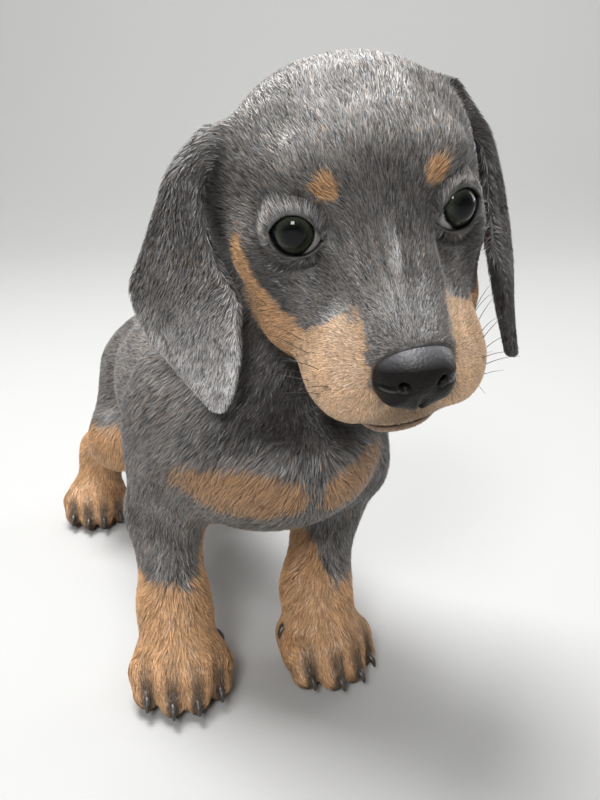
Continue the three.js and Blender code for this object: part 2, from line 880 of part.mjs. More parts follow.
let torso = stretch(world, [-52, -100, 34], [58, 132, 130], spacing.torso);
torso = torso.subtract(above(neckCut)).subtract(below(tailCut));
for (const region of Object.values(legRegions)) torso = torso.subtract(legRegion(region, gap));
node("torso", torso, "coat", [0, 20, 80]);

let neck = stretch(world, [-50, -110, 70], [62, 20, 196], spacing.neck);
neck = neck.subtract(below(neckCut)).subtract(headRegion(gap));
node("neck", neck, "coat", [2, -36, 100]);

let tail = stretch(world, [-22, 92, 44], [40, 190, 110], spacing.tail);
tail = tail.subtract(above(tailCut));
node("tail", tail, "coat", tailPath[0]);

// Legs and paws
const footFloor = block(world, [-far, -far, -far], [far, far, 0]);

for (const [name, leg] of Object.entries(legs)) {
  const fore = name.startsWith("fore");
  const side = name.endsWith("right") ? "right" : "left";
  const region = legRegion(legRegions[name], 0);
  const x = leg.paw[0];
  const y = leg.paw[1];
  const low = [x - 34, y - (fore ? 40 : 66), 6];
  const high = [x + 34, y + (fore ? 48 : 40), 100];
  const ankleCut = planeFrame([0, 0, fore ? 19 : 17], 0);
  const limbAt = (step) => stretch(world, low, high, step).intersect(region);
  if (fore) {
    node(name, limbAt(spacing.foreleg).subtract(below(ankleCut)), "coat", leg.shoulder);
  } else {
    const kneeCut = planeFrame(mix(leg.knee, leg.hock, 0.22), 35);
    node(`thigh_${side}`, limbAt(spacing.thigh).subtract(below(kneeCut)), "coat", leg.hip);
    const shank = limbAt(spacing.shank).subtract(above(kneeCut)).subtract(below(ankleCut));
    node(`shank_${side}`, shank, "tan", leg.knee);
  }
  const pawName = `${fore ? "forepaw" : "hindpaw"}_${side}`;
  const { frame, width } = paws[pawName];
  let paw = stretch(frame, [-22, -26, -6], [22, 24, 28], spacing.paw);
  for (const n of [-1.5, -0.5, 0.5, 1.5]) paw = paw.add(claw(frame, n, width));
  if (fore) paw = paw.add(dewclaw(frame, side === "right" ? 1 : -1));
  node(pawName, paw.subtract(above(ankleCut)).subtract(footFloor), "tan", leg.paw);
}

puppy.position.set(...originShift);

export default puppy;
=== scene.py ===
# %% [markdown]
# # A dachshund puppy, standing
#
# A blue-and-tan puppy of about eight weeks stands on a pale floor and looks up at us.
# This lesson builds it in layers, as an animal is built: one field of soft masses gives
# the body, a skin is drawn over that field, and short hair grows out of the skin. Eyes,
# nose, claws and whiskers are pieces of their own. In the code, p holds points of the
# body, q the same points in the frame of the head, and d distances. The side s is 1 on
# the puppy's left and -1 on its right.

# %% The frame, and the units
import math

import bmesh
import bpy
import numpy as np
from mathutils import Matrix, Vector


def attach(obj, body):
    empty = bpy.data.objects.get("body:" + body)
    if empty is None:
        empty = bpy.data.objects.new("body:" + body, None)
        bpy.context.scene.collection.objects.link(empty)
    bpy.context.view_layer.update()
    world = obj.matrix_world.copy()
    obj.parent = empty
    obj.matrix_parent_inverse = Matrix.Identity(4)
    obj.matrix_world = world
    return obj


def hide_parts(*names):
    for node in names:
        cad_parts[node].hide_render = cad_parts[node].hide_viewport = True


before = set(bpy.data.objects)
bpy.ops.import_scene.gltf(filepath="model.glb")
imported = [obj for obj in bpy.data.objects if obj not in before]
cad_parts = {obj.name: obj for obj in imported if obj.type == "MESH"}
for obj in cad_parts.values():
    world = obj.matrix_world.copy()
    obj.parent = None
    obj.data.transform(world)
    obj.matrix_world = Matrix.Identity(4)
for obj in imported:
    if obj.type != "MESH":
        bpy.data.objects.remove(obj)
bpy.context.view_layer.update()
MM = 0.001
RNG = np.random.default_rng(4127)
print("nodes in the frame:", len(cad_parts))

# %% [markdown]
# ## The camera
#
# The picture is taken from in front of the puppy and a little to its right, at the
# height of its forehead. A camera is only a place, two turns and a lens. This one stands
# about 20 cm from the head, while the hips are almost twice as far away: that nearness is
# what makes the head look so large. The body is described in millimetres from a point
# under its chest, and the shift puts the middle of its box near the origin.

# %% The camera
ORIGIN_SHIFT = np.array([-11.2, -28.2, 0.0])
CAMERA_AT = ORIGIN_SHIFT + (-85.0, -260.0, 170.0)
CAMERA_TURN = 25.0
CAMERA_DOWN = 18.0
LENS = 36.0
SENSOR_WIDTH = 36.0


def make_camera():
    data = bpy.data.cameras.new("portrait_camera")
    data.lens = LENS
    data.sensor_width = SENSOR_WIDTH
    camera = bpy.data.objects.new("portrait_camera", data)
    camera.location = Vector(CAMERA_AT) * MM
    camera.rotation_euler = (math.radians(90 - CAMERA_DOWN), 0, math.radians(-CAMERA_TURN))
    bpy.context.collection.objects.link(camera)
    bpy.context.scene.camera = camera
    return camera


camera = make_camera()
print("camera at", [round(v, 3) for v in camera.location], "m")

# %% [markdown]
# ## The body as a field
#
# A soft animal has no edges, so no box or cylinder is a good start. Sculpting by hand
# would do, but a script can't sculpt. Here the flesh is a field: a function that tells,
# for any point, about how far it is from the skin. Each mass, such as a rib cage or a
# cheek, is an ellipsoid or a limb with round ends, and neighbours melt into each other
# like warm wax. The numbers are millimetres. Points are kept as three rows, x, y and z.

# %% Masses, and how they melt together
def column(v):
    return np.asarray(v, dtype=float).reshape(3, 1)


def length(p):
    return np.sqrt((p * p).sum(axis=0))


def ball(centre, radii):
    """A mass like an egg, below zero inside."""
    centre, radii = column(centre), column(radii)

    def distance(p):
        q = (p - centre) / radii
        k = length(q)
        return k * (k - 1) / np.maximum(length(q / radii), 1e-9)

    return distance


def limb(a, b, radius_a, radius_b):
    """A mass from a to b with round ends, as thick at each end as its radius says."""
    a, b = column(a), column(b)
    ab = b - a
    span = float((ab * ab).sum())

    def distance(p):
        t = np.clip(((p - a) * ab).sum(axis=0) / span, 0, 1)
        return length(p - a - ab * t) - (radius_a + (radius_b - radius_a) * t)

    return distance


def melt(a, b, k):
    """Joins two masses, with a blend that is k millimetres wide."""
    h = np.maximum(k - np.abs(a - b), 0) / k
    return np.minimum(a, b) - h * h * k / 4


def carve(a, b, k):
    """Takes the mass b out of a, with a round edge."""
    return -melt(-a, b, k)


def together(masses, k):
    """Melts a list of masses into one, each blend k millimetres wide."""

    def distance(p):
        d = masses[0](p)
        for mass in masses[1:]:
            d = melt(d, mass(p), k)
        return d

    return distance


def least(fields, p):
    """The smallest of several fields, with no blend between them."""
    return np.min([f(p) for f in fields], axis=0)


def pair(make):
    """The same mass on the left and on the right."""
    return [make(1), make(-1)]


def smooth(low, high, x):
    """Rises softly from 0 at low to 1 at high."""
    t = np.clip((x - low) / (high - low), 0, 1)
    return t * t * (3 - 2 * t)


# %% Turned frames
def turn_matrix(yaw=0.0, pitch=0.0, roll=0.0):
    z, x, y = (math.radians(v) for v in (yaw, pitch, roll))
    about_z = np.array([[math.cos(z), -math.sin(z), 0], [math.sin(z), math.cos(z), 0], [0, 0, 1]])
    about_x = np.array([[1, 0, 0], [0, math.cos(x), -math.sin(x)], [0, math.sin(x), math.cos(x)]])
    about_y = np.array([[math.cos(y), 0, math.sin(y)], [0, 1, 0], [-math.sin(y), 0, math.cos(y)]])
    return about_z @ about_x @ about_y


class Place:
    """A frame with its own place and turns. out() leads to the body's frame, into() back."""

    def __init__(self, at, **turns):
        self.at = column(at)
        self.turn = turn_matrix(**turns)

    def out(self, p):
        return self.turn @ np.asarray(p, dtype=float).reshape(3, -1) + self.at

    def into(self, p):
        return self.turn.T @ (p - self.at)

    def point(self, p):
        return self.out(p)[:, 0]


HEAD = Place((12.3, -91.7, 154.9), yaw=-9, pitch=34, roll=-9.5)

# %% [markdown]
# ## Head, neck and trunk
#
# A young dachshund has a domed skull, a soft stop between the eyes, and a short broad
# muzzle whose upper lips hang over the lower ones. The head is described in its own
# frame, from a point between the eyes, so that it can be tipped and turned as a whole.

# %% The head
SIDES = (1, -1)
EYE = dict(side=18.6, back=0.0, up=-2.0, radius=7.3, out=24.0, rise=18.0, lid=1.0)
NOSE_AT = np.array([0.0, -37.0, -16.5])

head_masses = together(
    [
        ball([0, 21.6, 0.6], [31.2, 27.2, 22]),
        ball([0, 8, 6], [23, 16, 15]),
        *pair(lambda s: ball([s * 20.6, 12, -15], [13.2, 19, 15])),
        *pair(lambda s: ball([s * 13, 3, 11], [9, 6, 5])),
        ball([-27.2, 26, -14], [10.5, 13, 17]),
        ball([25.5, 24, -12], [9.5, 13, 16]),
        *pair(lambda s: limb([s * 23, 26, -14], [s * 14, 21, -46], 11, 13)),
        *pair(lambda s: ball([s * 18, -1, -27.5], [11.7, 16, 10.6])),
        *pair(lambda s: limb([s * 18, 4, -16], [s * 11, -19, -21], 10, 8)),
        limb([0, -6, -5.5], [0, -31, -16], 14.5, 11),
        *pair(lambda s: ball([s * 11.5, -23.8, -26.8], [11.4, 15.6, 12.6])),
        *pair(lambda s: limb([s * 3.5, -30, -37.5], [s * 11, 5, -31], 6.8, 9.5)),
    ],
    6,
)


def eye_centre(s):
    return np.array([s * EYE["side"], EYE["back"], EYE["up"]])


def eye_axes(s):
    """Across, towards the nose, then up, then the way the lids face."""
    a, b = math.radians(EYE["out"]), math.radians(EYE["rise"])
    level = np.array([s * math.sin(a), -math.cos(a), 0])
    gaze = level * math.cos(b) + np.array([0, 0, math.sin(b)])
    up = np.array([0, 0, math.cos(b)]) - level * math.sin(b)
    inward = np.array([-s * math.cos(a), -math.sin(a), 0])
    return inward, up, gaze


LID = dict(middle=0.7, outer=5.8, inner=6.4, top=5.0, low=4.9, melt=1.5, rounding=1.0)
SOCKET = dict(ahead=16, radius=11.0, rounding=8, melt=3)


def eye_distance(q, s):
    return length(q - column(eye_centre(s)))


def lid_ball(q, s):
    """The round of the lids, before they are opened."""
    return eye_distance(q, s) - (EYE["radius"] + EYE["lid"])


def lid_opening(q, s):
    """Below zero between the lids: a full almond, drawn out and down at its inner corner."""
    inward, up, gaze = eye_axes(s)
    d = q - column(eye_centre(s))
    x, z, depth = inward @ d - LID["middle"], up @ d, gaze @ d
    half = np.where(x > 0, LID["inner"], LID["outer"])
    e = np.clip(np.abs(x) / half, 0, 1)
    bend = np.where(x > 0, -0.022 * x * x, 0.01 * x * x)
    tall = (1 - e ** 2.3) ** np.where(x > 0, 0.9, 0.85)
    opening = np.maximum(z - bend - LID["top"] * tall, bend - z - LID["low"] * tall)
    opening = np.maximum(opening, (np.abs(x) - half) * 0.9)
    return np.maximum(opening * 0.8, 3.0 - depth)


def head_field(p):
    q = HEAD.into(p)
    d = head_masses(q)
    for s in SIDES:
        centre = column(eye_centre(s))
        gaze = column(eye_axes(s)[2])
        hollow = length(q - centre - gaze * SOCKET["ahead"]) - SOCKET["radius"]
        d = carve(d, hollow, SOCKET["rounding"])
        d = melt(d, lid_ball(q, s), SOCKET["melt"])
    return d


print("eyes are", 2 * EYE["side"], "mm apart")


# %% The neck, the trunk and the tail
neck_field = limb([4, -34, 92], HEAD.point([0, 36, -13]), 31, 21)

trunk_field = together(
    [
        ball([2, -26, 82], [33, 46, 28]),
        ball([5, -58, 82], [27, 24, 20]),
        ball([1, 26, 78], [27, 46, 27]),
        limb([1, -14, 90], [4, 68, 82], 20, 18),
        ball([6, 74, 77], [22, 26, 22]),
    ],
    12,
)

TAIL_PATH = [
    (0, 98, 82), (4, 115, 77), (9, 132, 68), (14, 149, 59), (18.5, 163, 52.5), (22.5, 176, 49),
]
TAIL_RADII = [9.6, 8.6, 7.5, 6.4, 5.2, 3.6]
tail_ends = list(zip(TAIL_PATH, TAIL_RADII))
tail_field = together(
    [limb(a, b, thick, thin) for (a, thick), (b, thin) in zip(tail_ends, tail_ends[1:])], 2
)
FLESH_MELT = dict(neck=22, tail=10, fore=8, hind=10, head=9, paw=6)


def torso_side(p):
    """The trunk and the neck, without the legs."""
    return melt(trunk_field(p), neck_field(p), FLESH_MELT["neck"])


print("from the nose to the end of the tail:", round(TAIL_PATH[-1][1] - HEAD.point(NOSE_AT)[1]), "mm")

# %% [markdown]
# ## Legs and paws
#
# Each leg is named by its joints, from the shoulder or the hip down to the paw, so that
# the stance can be read off the numbers. A paw has four toes, each bent down over its
# pad, and stands on z = 0.

# %% Legs
LEGS = {
    "foreleg_right": dict(
        shoulder=(-21, -28, 82), elbow=(-24.5, -27, 56), wrist=(-26.5, -39, 27),
        paw=(-27.3, -45, 0), heading=12,
    ),
    "foreleg_left": dict(
        shoulder=(29.5, -42, 84), elbow=(28, -39, 56), wrist=(19.5, -48, 27),
        paw=(19.5, -53, 0), heading=-6,
    ),
    "hindleg_right": dict(
        hip=(-4, 80, 72), knee=(-17, 66, 48), hock=(-20, 99, 31),
        paw=(-26, 92, 0), heading=14,
    ),
    "hindleg_left": dict(
        hip=(14, 82, 72), knee=(24, 70, 48), hock=(27, 102, 31),
        paw=(30, 95, 0), heading=-14,
    ),
}


def shifted(p, by):
    return tuple(a + b for a, b in zip(p, by))


def leg_field(leg):
    if "shoulder" in leg:
        return together(
            [
                ball(leg["shoulder"], [14.6, 19, 25]),
                limb(shifted(leg["shoulder"], (0, -4, -14)), leg["elbow"], 15.4, 11.6),
                limb(leg["elbow"], leg["wrist"], 11.6, 10.1),
                limb(leg["wrist"], shifted(leg["paw"], (0, -1, 12)), 10.6, 12.2),
            ],
            8,
        )
    return together(
        [
            limb(leg["hip"], leg["knee"], 18, 13.5),
            limb(leg["knee"], leg["hock"], 13, 9),
            limb(leg["hock"], shifted(leg["paw"], (0, 2, 12)), 9.5, 9.5),
        ],
        8,
    )


# %% Paws
TOES = (-1.5, -0.5, 0.5, 1.5)
PAW_WIDTH = {"fore": 29.5, "hind": 27}
FULL_WIDTH = 33


def paw_place(name):
    leg = LEGS[name]
    return Place(leg["paw"], yaw=-leg["heading"])


def paw_share(name):
    """How wide a paw is, as a share of the width that its toes are written for."""
    return PAW_WIDTH[name[:4]] / FULL_WIDTH


def paw_field(name):
    w = paw_share(name)
    toes = []
    pads = [ball([0, 2, 3.4], [8.5 * w, 7, 4.4])]
    for n in TOES:
        reach = -7.5 if abs(n) > 1 else -12.5
        knuckle = limb([n * 6.2 * w, reach + 14, 12], [n * 8.1 * w, reach + 4, 11], 5.2 * w, 5.6 * w)
        tip = limb([n * 8.1 * w, reach + 4, 10.5], [n * 8.3 * w, reach - 0.5, 6], 5.6 * w, 5 * w)
        toes.append(together([knuckle, tip], 3))
        pads.append(ball([n * 7.9 * w, -6 if abs(n) > 1 else -11, 3.2], [4 * w, 5, 4.1]))
    flesh = together([ball([0, 1, 9], [13 * w, 14, 9]), together(toes, 1.2)], 5)
    foot = together([flesh, *pads], 1.5)
    place = paw_place(name)
    return lambda p: foot(place.into(p))


leg_fields = {name: leg_field(leg) for name, leg in LEGS.items()}
paw_fields = {name: paw_field(name) for name in LEGS}
print("legs:", ", ".join(LEGS))

# %% [markdown]
# ## Ears
#
# A dachshund's ear is a soft leaf, rooted high on the skull, that hangs beside the cheek
# and curls in at its front edge. As a field it is a thin bent sheet: how far a point lies
# from the sheet, and how far it lies outside the leaf's outline. The sheet is first pushed
# clear of the cheek and the neck, as an ear rests on them and doesn't sink in.

# %% Ears
EAR = dict(half_thick=1.15, sunk=6, bulge=3.2, roll=7, edge_round=1.2, rim_melt=0.8, root_melt=5)
EAR_SET = {
    1: dict(root=(34, 21, 5.5), flare=33, lean=11.5),
    -1: dict(root=(33.6, 21, 3.7), flare=35, lean=3),
}
EAR_FRONT = [
    (0, -8), (5, 3), (5.8, 13), (2.6, 24), (-5.6, 34), (-7.4, 45), (-6, 55.5), (-2.3, 62.5),
]
EAR_REAR = [
    (7, -8), (12.5, -1), (17.0, 10.5), (22.5, 23), (27, 33), (22, 44), (10, 55), (0.5, 62.5),
]
EAR_TOP, EAR_TIP = -8.0, 62.5


def ear_axes(s):
    a = math.radians(EAR_SET[s]["flare"])
    b = math.radians(EAR_SET[s]["lean"])
    rear = np.array([s * math.sin(a), math.cos(a), 0])
    outward = np.array([s * math.cos(a), -math.sin(a), 0])
    down = np.array([0, 0, -1]) * math.cos(b) + outward * math.sin(b)
    return rear, down, outward


def ear_root(s):
    across, back, up = EAR_SET[s]["root"]
    return column(HEAD.point([s * across, back, up]))


def on_leaf(p, s):
    """Where a point lies along the leaf: towards its rear edge, and down from its root."""
    d = p - ear_root(s)
    return ear_axes(s)[0] @ d, -d[2] / math.cos(math.radians(EAR_SET[s]["lean"]))


def smooth_curve(points, count=120):
    """A Catmull-Rom curve through the points."""
    pts = np.array([points[0], *points, points[-1]], dtype=float)
    out = []
    for i in range(1, len(pts) - 2):
        t = np.linspace(0, 1, count // (len(points) - 1), endpoint=False)[:, None]
        a, b, c, d = pts[i - 1], pts[i], pts[i + 1], pts[i + 2]
        squared = (2 * a - 5 * b + 4 * c - d) * t ** 2
        cubed = (3 * b - a - 3 * c + d) * t ** 3
        out.append(0.5 * (2 * b + (c - a) * t + squared + cubed))
    return np.vstack([*out, pts[-1]])


FRONT_EDGE = smooth_curve(EAR_FRONT)
REAR_EDGE = smooth_curve(EAR_REAR)


def ear_shape(q_u, q_v):
    """For a place on the leaf: how far out the sheet bulges, and the distance past its edge."""
    v = np.clip(q_v, EAR_TOP, EAR_TIP)
    front = np.interp(v, FRONT_EDGE[:, 1], FRONT_EDGE[:, 0])
    rear = np.interp(v, REAR_EDGE[:, 1], REAR_EDGE[:, 0])
    middle, half = (front + rear) / 2, np.maximum((rear - front) / 2, 0.5)
    e = np.clip((q_u - middle) / half, -1, 1)
    t = (v - EAR_TOP) / (EAR_TIP - EAR_TOP)
    hang = np.sin(math.pi * np.minimum(1, t * 1.15))
    front_roll = EAR["roll"] * np.maximum(0, -e) ** 1.5 * np.sin(math.pi * np.minimum(1, t * 1.5))
    sunk = EAR["sunk"] * np.maximum(0, 1 - t * 5.5) ** 1.2
    bulge = EAR["bulge"] * (1 - e * e) * hang - front_roll - sunk
    edge = np.maximum(front - q_u, q_u - rear) * 0.8
    edge = np.maximum(edge, np.maximum(EAR_TOP - q_v, q_v - EAR_TIP))
    return bulge, edge


EAR_GRID = 1.5
EAR_CLEAR = 2.3
EAR_CLEAR_MELT = 6


def ear_sheet(s):
    """How far the leaf stands out at each (u, v), pushed clear of the cheek and the neck."""
    rear, down, outward = ear_axes(s)
    root = ear_root(s)
    us = np.arange(-15, 36, EAR_GRID)
    vs = np.arange(-12, 70, EAR_GRID)
    u, v = (m.ravel() for m in np.meshgrid(us, vs, indexing="ij"))
    out, _ = ear_shape(u, v)
    flat = root + np.outer(rear, u) + np.outer(down, v)
    free = smooth(2, 12, v)
    for _ in range(4):
        sheet = flat + np.outer(outward, out)
        near = melt(head_field(sheet), torso_side(sheet), EAR_CLEAR_MELT)
        out = out + free * np.maximum(0, EAR_CLEAR - near)
    out = out.reshape(len(us), len(vs))
    for _ in range(2):
        padded = np.pad(out, 1, mode="edge")
        out = (padded[2:, 1:-1] + padded[:-2, 1:-1] + padded[1:-1, 2:] + padded[1:-1, :-2] + 2 * out) / 6
    return us, vs, out


def looked_up(sheet, u, v):
    """Reads the sheet between its grid points."""
    us, vs, out = sheet
    x = np.clip((u - us[0]) / EAR_GRID, 0, len(us) - 1.001)
    y = np.clip((v - vs[0]) / EAR_GRID, 0, len(vs) - 1.001)
    i, j = x.astype(int), y.astype(int)
    a, b = x - i, y - j
    low = out[i, j] * (1 - a) + out[i + 1, j] * a
    high = out[i, j + 1] * (1 - a) + out[i + 1, j + 1] * a
    return low * (1 - b) + high * b


def above_leaf(p, s):
    """Height over the middle of the leaf: above zero outside, below zero towards the head."""
    u, v = on_leaf(p, s)
    lean = math.radians(EAR_SET[s]["lean"])
    return ear_axes(s)[2] @ (p - ear_root(s)) - math.sin(lean) * v - looked_up(EAR_SHEETS[s], u, v)


def ear_field(s):
    def distance(p):
        u, v = on_leaf(p, s)
        _, edge = ear_shape(u, v)
        leaf = np.abs(above_leaf(p, s)) * 0.85 - EAR["half_thick"]
        return -melt(-leaf, -edge, EAR["edge_round"]), v

    return distance


def ear_distance(p):
    """How far a point is from the nearer ear."""
    return np.minimum(*(ear_fields[s](p)[0] for s in SIDES))


EAR_SHEETS = {s: ear_sheet(s) for s in SIDES}
ear_fields = {s: ear_field(s) for s in SIDES}
print("ears are", EAR_TIP - EAR_TOP, "mm long")

# %% [markdown]
# ## All the flesh at once
#
# The parts melt together in turn. Hair stands on the skin, so the skin lies below the
# outline by the depth of the coat: about a millimetre, and less on the face and feet.

# %% The flesh, and the skin under the coat
COAT_DEPTH = 1.0
FACE_DEPTH = 0.45


def flesh(p):
    d = melt(torso_side(p), tail_field(p), FLESH_MELT["tail"])
    for name in LEGS:
        d = melt(d, leg_fields[name](p), FLESH_MELT[name[:4]])
    d = melt(d, head_field(p), FLESH_MELT["head"])
    for name in LEGS:
        d = melt(d, paw_fields[name](p), FLESH_MELT["paw"])
    return d


MOUTH = dict(half_wide=0.55, deep=2.2, corner=-6.0, rounding=0.7)
MOUTH_LINE = [(-50, -37.3), (-38, -37.3), (-28, -38.2), (-16, -37.0), (-5, -32.0)]


def mouth_height(y):
    line = np.array(MOUTH_LINE)
    return np.interp(y, line[:, 0], line[:, 1])


def coat_depth(p):
    """How deep the coat is at a point: full on the body, thin on the face and the feet."""
    q = HEAD.into(p)
    face = 1 - smooth(0, 26, q[1] + 0.4 * np.abs(q[0]))
    face = face * (1 - smooth(52, 66, length(q)))
    foot = 1 - smooth(16, 34, p[2])
    return COAT_DEPTH - (COAT_DEPTH - FACE_DEPTH) * np.maximum(face, foot)


def skin_field(p):
    d = flesh(p) + coat_depth(p)
    q = HEAD.into(p)
    slit = np.maximum(np.abs(q[2] - mouth_height(q[1])) - MOUTH["half_wide"], -d - MOUTH["deep"])
    d = carve(d, np.maximum(slit, q[1] - MOUTH["corner"]), MOUTH["rounding"])
    for s in SIDES:
        leaf, hang = ear_fields[s](p)
        d = melt(d, leaf, EAR["rim_melt"] + EAR["root_melt"] * (1 - smooth(-5, 12, hang)))
        d = melt(d, lid_ball(q, s), LID["melt"])
        d = carve(d, lid_opening(q, s), LID["rounding"])
    return np.maximum(d, -p[2])


print("coat:", COAT_DEPTH, "mm deep, and", FACE_DEPTH, "mm on the face and the feet")


# %% [markdown]
# ## From the field to a mesh
#
# Blender can turn a volume into a mesh, but a plain way in numpy keeps the points where
# the field says. Surface nets put one point in each small cell that the skin crosses and
# join neighbours into four-sided faces. To save time, a coarse grid finds the skin
# first, and only the cells near it are worked out finely.

# %% Surface nets
CORNERS = [(i, j, k) for k in (0, 1) for j in (0, 1) for i in (0, 1)]
CELL_EDGES = [(a, a | bit) for a in range(8) for bit in (1, 2, 4) if not a & bit]
POINTS_AT_ONCE = 400000


def grid_shape(low, high, step):
    """How many points a grid needs to reach from low to high."""
    return tuple(int(n) for n in np.ceil((high - low) / step) + 1)


def band_values(field, low, step, shape, coarse=4, reach=8.0):
    """The field on a fine grid, exact near the skin and only right in sign elsewhere."""
    wide = [math.ceil((n - 1) / coarse) + 1 for n in shape]
    axes = [low[a] + step * coarse * np.arange(wide[a]) for a in range(3)]
    grid = np.stack(np.meshgrid(*axes, indexing="ij")).reshape(3, -1)
    rough = field(grid).reshape(wide)
    near = [np.minimum(np.arange(n) / coarse + 0.5, w - 1).astype(int) for n, w in zip(shape, wide)]
    values = rough[np.ix_(*near)].astype(np.float32)
    close = np.argwhere(np.abs(values) < reach)
    for start in range(0, len(close), POINTS_AT_ONCE):
        part = close[start : start + POINTS_AT_ONCE]
        points = part.T * step + column(low)
        values[tuple(part.T)] = field(points)
    for axis in range(3):
        rim = np.moveaxis(values, axis, 0)
        rim[0] = rim[-1] = 1.0
    return values


def surface_nets(values, low, step):
    """One point in each cell that the skin crosses, and a face round each crossed edge."""
    inside = values < 0
    shape = tuple(n - 1 for n in values.shape)

    def corner(block, c):
        return block[tuple(slice(o, o + n) for o, n in zip(c, shape))]

    count = sum(corner(inside, c).astype(np.int8) for c in CORNERS)
    cells = np.argwhere((count > 0) & (count < 8))
    at = {n: values[tuple((cells + np.array(c)).T)].astype(float) for n, c in enumerate(CORNERS)}
    total = np.zeros((len(cells), 3))
    hits = np.zeros(len(cells))
    for a, b in CELL_EDGES:
        da, db = at[a], at[b]
        crossed = (da < 0) != (db < 0)
        t = np.where(crossed, da / np.where(crossed, da - db, 1), 0)[:, None]
        ca, cb = np.array(CORNERS[a]), np.array(CORNERS[b])
        total += np.where(crossed[:, None], ca + (cb - ca) * t, 0)
        hits += crossed
    points = (cells + total / hits[:, None]) * step + np.asarray(low)
    index = np.full(shape, -1, dtype=np.int64)
    index[tuple(cells.T)] = np.arange(len(cells))
    faces = []
    for axis in range(3):
        u, v = [(1, 2), (2, 0), (0, 1)][axis]
        first = [slice(0, n) for n in values.shape]
        second = list(first)
        first[axis] = slice(0, -1)
        second[axis] = slice(1, None)
        here, there = inside[tuple(first)], inside[tuple(second)]
        edges = np.argwhere(here != there)
        flip = ~here[tuple(edges.T)]
        ring = []
        for du, dv in ((-1, -1), (0, -1), (0, 0), (-1, 0)):
            cell = edges.copy()
            cell[:, u] += du
            cell[:, v] += dv
            ring.append(index[tuple(cell.T)])
        quads = np.stack(ring, axis=1)
        quads[flip] = quads[flip][:, ::-1]
        faces.append(quads)
    return points, np.vstack(faces)


def gradient(field, p, h=0.12):
    """The way in which the field grows, which points out of the skin."""
    out = np.empty_like(p)
    for axis in range(3):
        step = np.zeros((3, 1))
        step[axis] = h
        out[axis] = (field(p + step) - field(p - step)) / (2 * h)
    return out


def settle(field, points, reach, rounds=3):
    """Moves points (rows) onto the skin, by no more than reach."""
    start = points.T.copy()
    p = start.copy()
    for _ in range(rounds):
        g = gradient(field, p)
        p = p - field(p) * g / np.maximum((g * g).sum(axis=0), 0.08)
        moved = p - start
        far = np.maximum(length(moved) / reach, 1)
        p = start + moved / far
    return p.T


# %% A helper that makes an object from numpy arrays
def new_object(name, points, faces, material=None):
    """An object from rows of points, in the body's millimetres, and rows of faces."""
    mesh = bpy.data.meshes.new(name)
    sides = faces.shape[1]
    placed = (np.asarray(points) + ORIGIN_SHIFT).astype(np.float32).ravel() * MM
    mesh.vertices.add(len(points))
    mesh.vertices.foreach_set("co", placed)
    mesh.loops.add(faces.size)
    mesh.loops.foreach_set("vertex_index", faces.astype(np.int32).ravel())
    mesh.polygons.add(len(faces))
    mesh.polygons.foreach_set("loop_start", np.arange(0, faces.size, sides, dtype=np.int32))
    mesh.polygons.foreach_set("use_smooth", np.ones(len(faces), dtype=bool))
    mesh.update(calc_edges=True)
    mesh.validate()
    obj = bpy.data.objects.new(name, mesh)
    bpy.context.collection.objects.link(obj)
    if material:
        mesh.materials.append(material)
    return obj


# %% The skin
SKIN_STEP = 1.1
BODY_LOW = np.array([-62.0, -135.0, -3.0])
BODY_HIGH = np.array([78.0, 186.0, 200.0])
skin_grid = grid_shape(BODY_LOW, BODY_HIGH, SKIN_STEP)
skin_values = band_values(skin_field, BODY_LOW, SKIN_STEP, skin_grid)
skin_points, skin_faces = surface_nets(skin_values, BODY_LOW, SKIN_STEP)
skin_points = settle(skin_field, skin_points, 0.5 * SKIN_STEP)
print("skin:", len(skin_points), "points,", len(skin_faces), "faces")
skin = new_object("skin", skin_points, skin_faces)


def to_body(points):
    """From Blender's metres back to the body's own millimetres, as three rows."""
    return (points / MM - ORIGIN_SHIFT).T


def vertex_points(mesh):
    flat = np.empty(len(mesh.vertices) * 3)
    mesh.vertices.foreach_get("co", flat)
    return flat.reshape(-1, 3)


# %% [markdown]
# ## Finer where the face needs it
#
# One millimetre is fine enough for a flank and far too coarse for an eyelid. The faces
# round the eyes and the muzzle are cut in four, and the rims of the lids once more.
# Each new point is then drawn onto the field.

# %% Finer faces
EYE_AREA, LID_AREA = 15, 10.5
MUZZLE_AREA = dict(back=-4, low=-52, side=34)


def refine(obj, wanted, reach):
    """Cuts the wanted faces in four and draws their points onto the skin."""
    bm = bmesh.new()
    bm.from_mesh(obj.data)
    centres = np.array([f.calc_center_median() for f in bm.faces])
    chosen = np.flatnonzero(wanted(to_body(centres)))
    bm.faces.ensure_lookup_table()
    edges = {e for n in chosen for e in bm.faces[n].edges}
    bmesh.ops.subdivide_edges(bm, edges=list(edges), cuts=1, use_grid_fill=True)
    bm.to_mesh(obj.data)
    bm.free()
    points = vertex_points(obj.data)
    body = to_body(points)
    near = wanted(body)
    moved = settle(skin_field, body[:, near].T, reach)
    points[near] = (moved + ORIGIN_SHIFT) * MM
    obj.data.vertices.foreach_set("co", points.ravel())
    obj.data.update()


def near_eyes(p, radius):
    q = HEAD.into(p)
    return np.minimum(*(eye_distance(q, s) for s in SIDES)) < radius


def on_face(p):
    q = HEAD.into(p)
    muzzle = (q[1] < MUZZLE_AREA["back"]) & (q[2] > MUZZLE_AREA["low"])
    muzzle = muzzle & (np.abs(q[0]) < MUZZLE_AREA["side"])
    return muzzle | near_eyes(p, EYE_AREA)


refine(skin, on_face, reach=0.35)
refine(skin, lambda p: near_eyes(p, LID_AREA), reach=0.2)
skin.data.polygons.foreach_set("use_smooth", np.ones(len(skin.data.polygons), dtype=bool))
print("skin after the finer cuts:", len(skin.data.polygons), "faces")

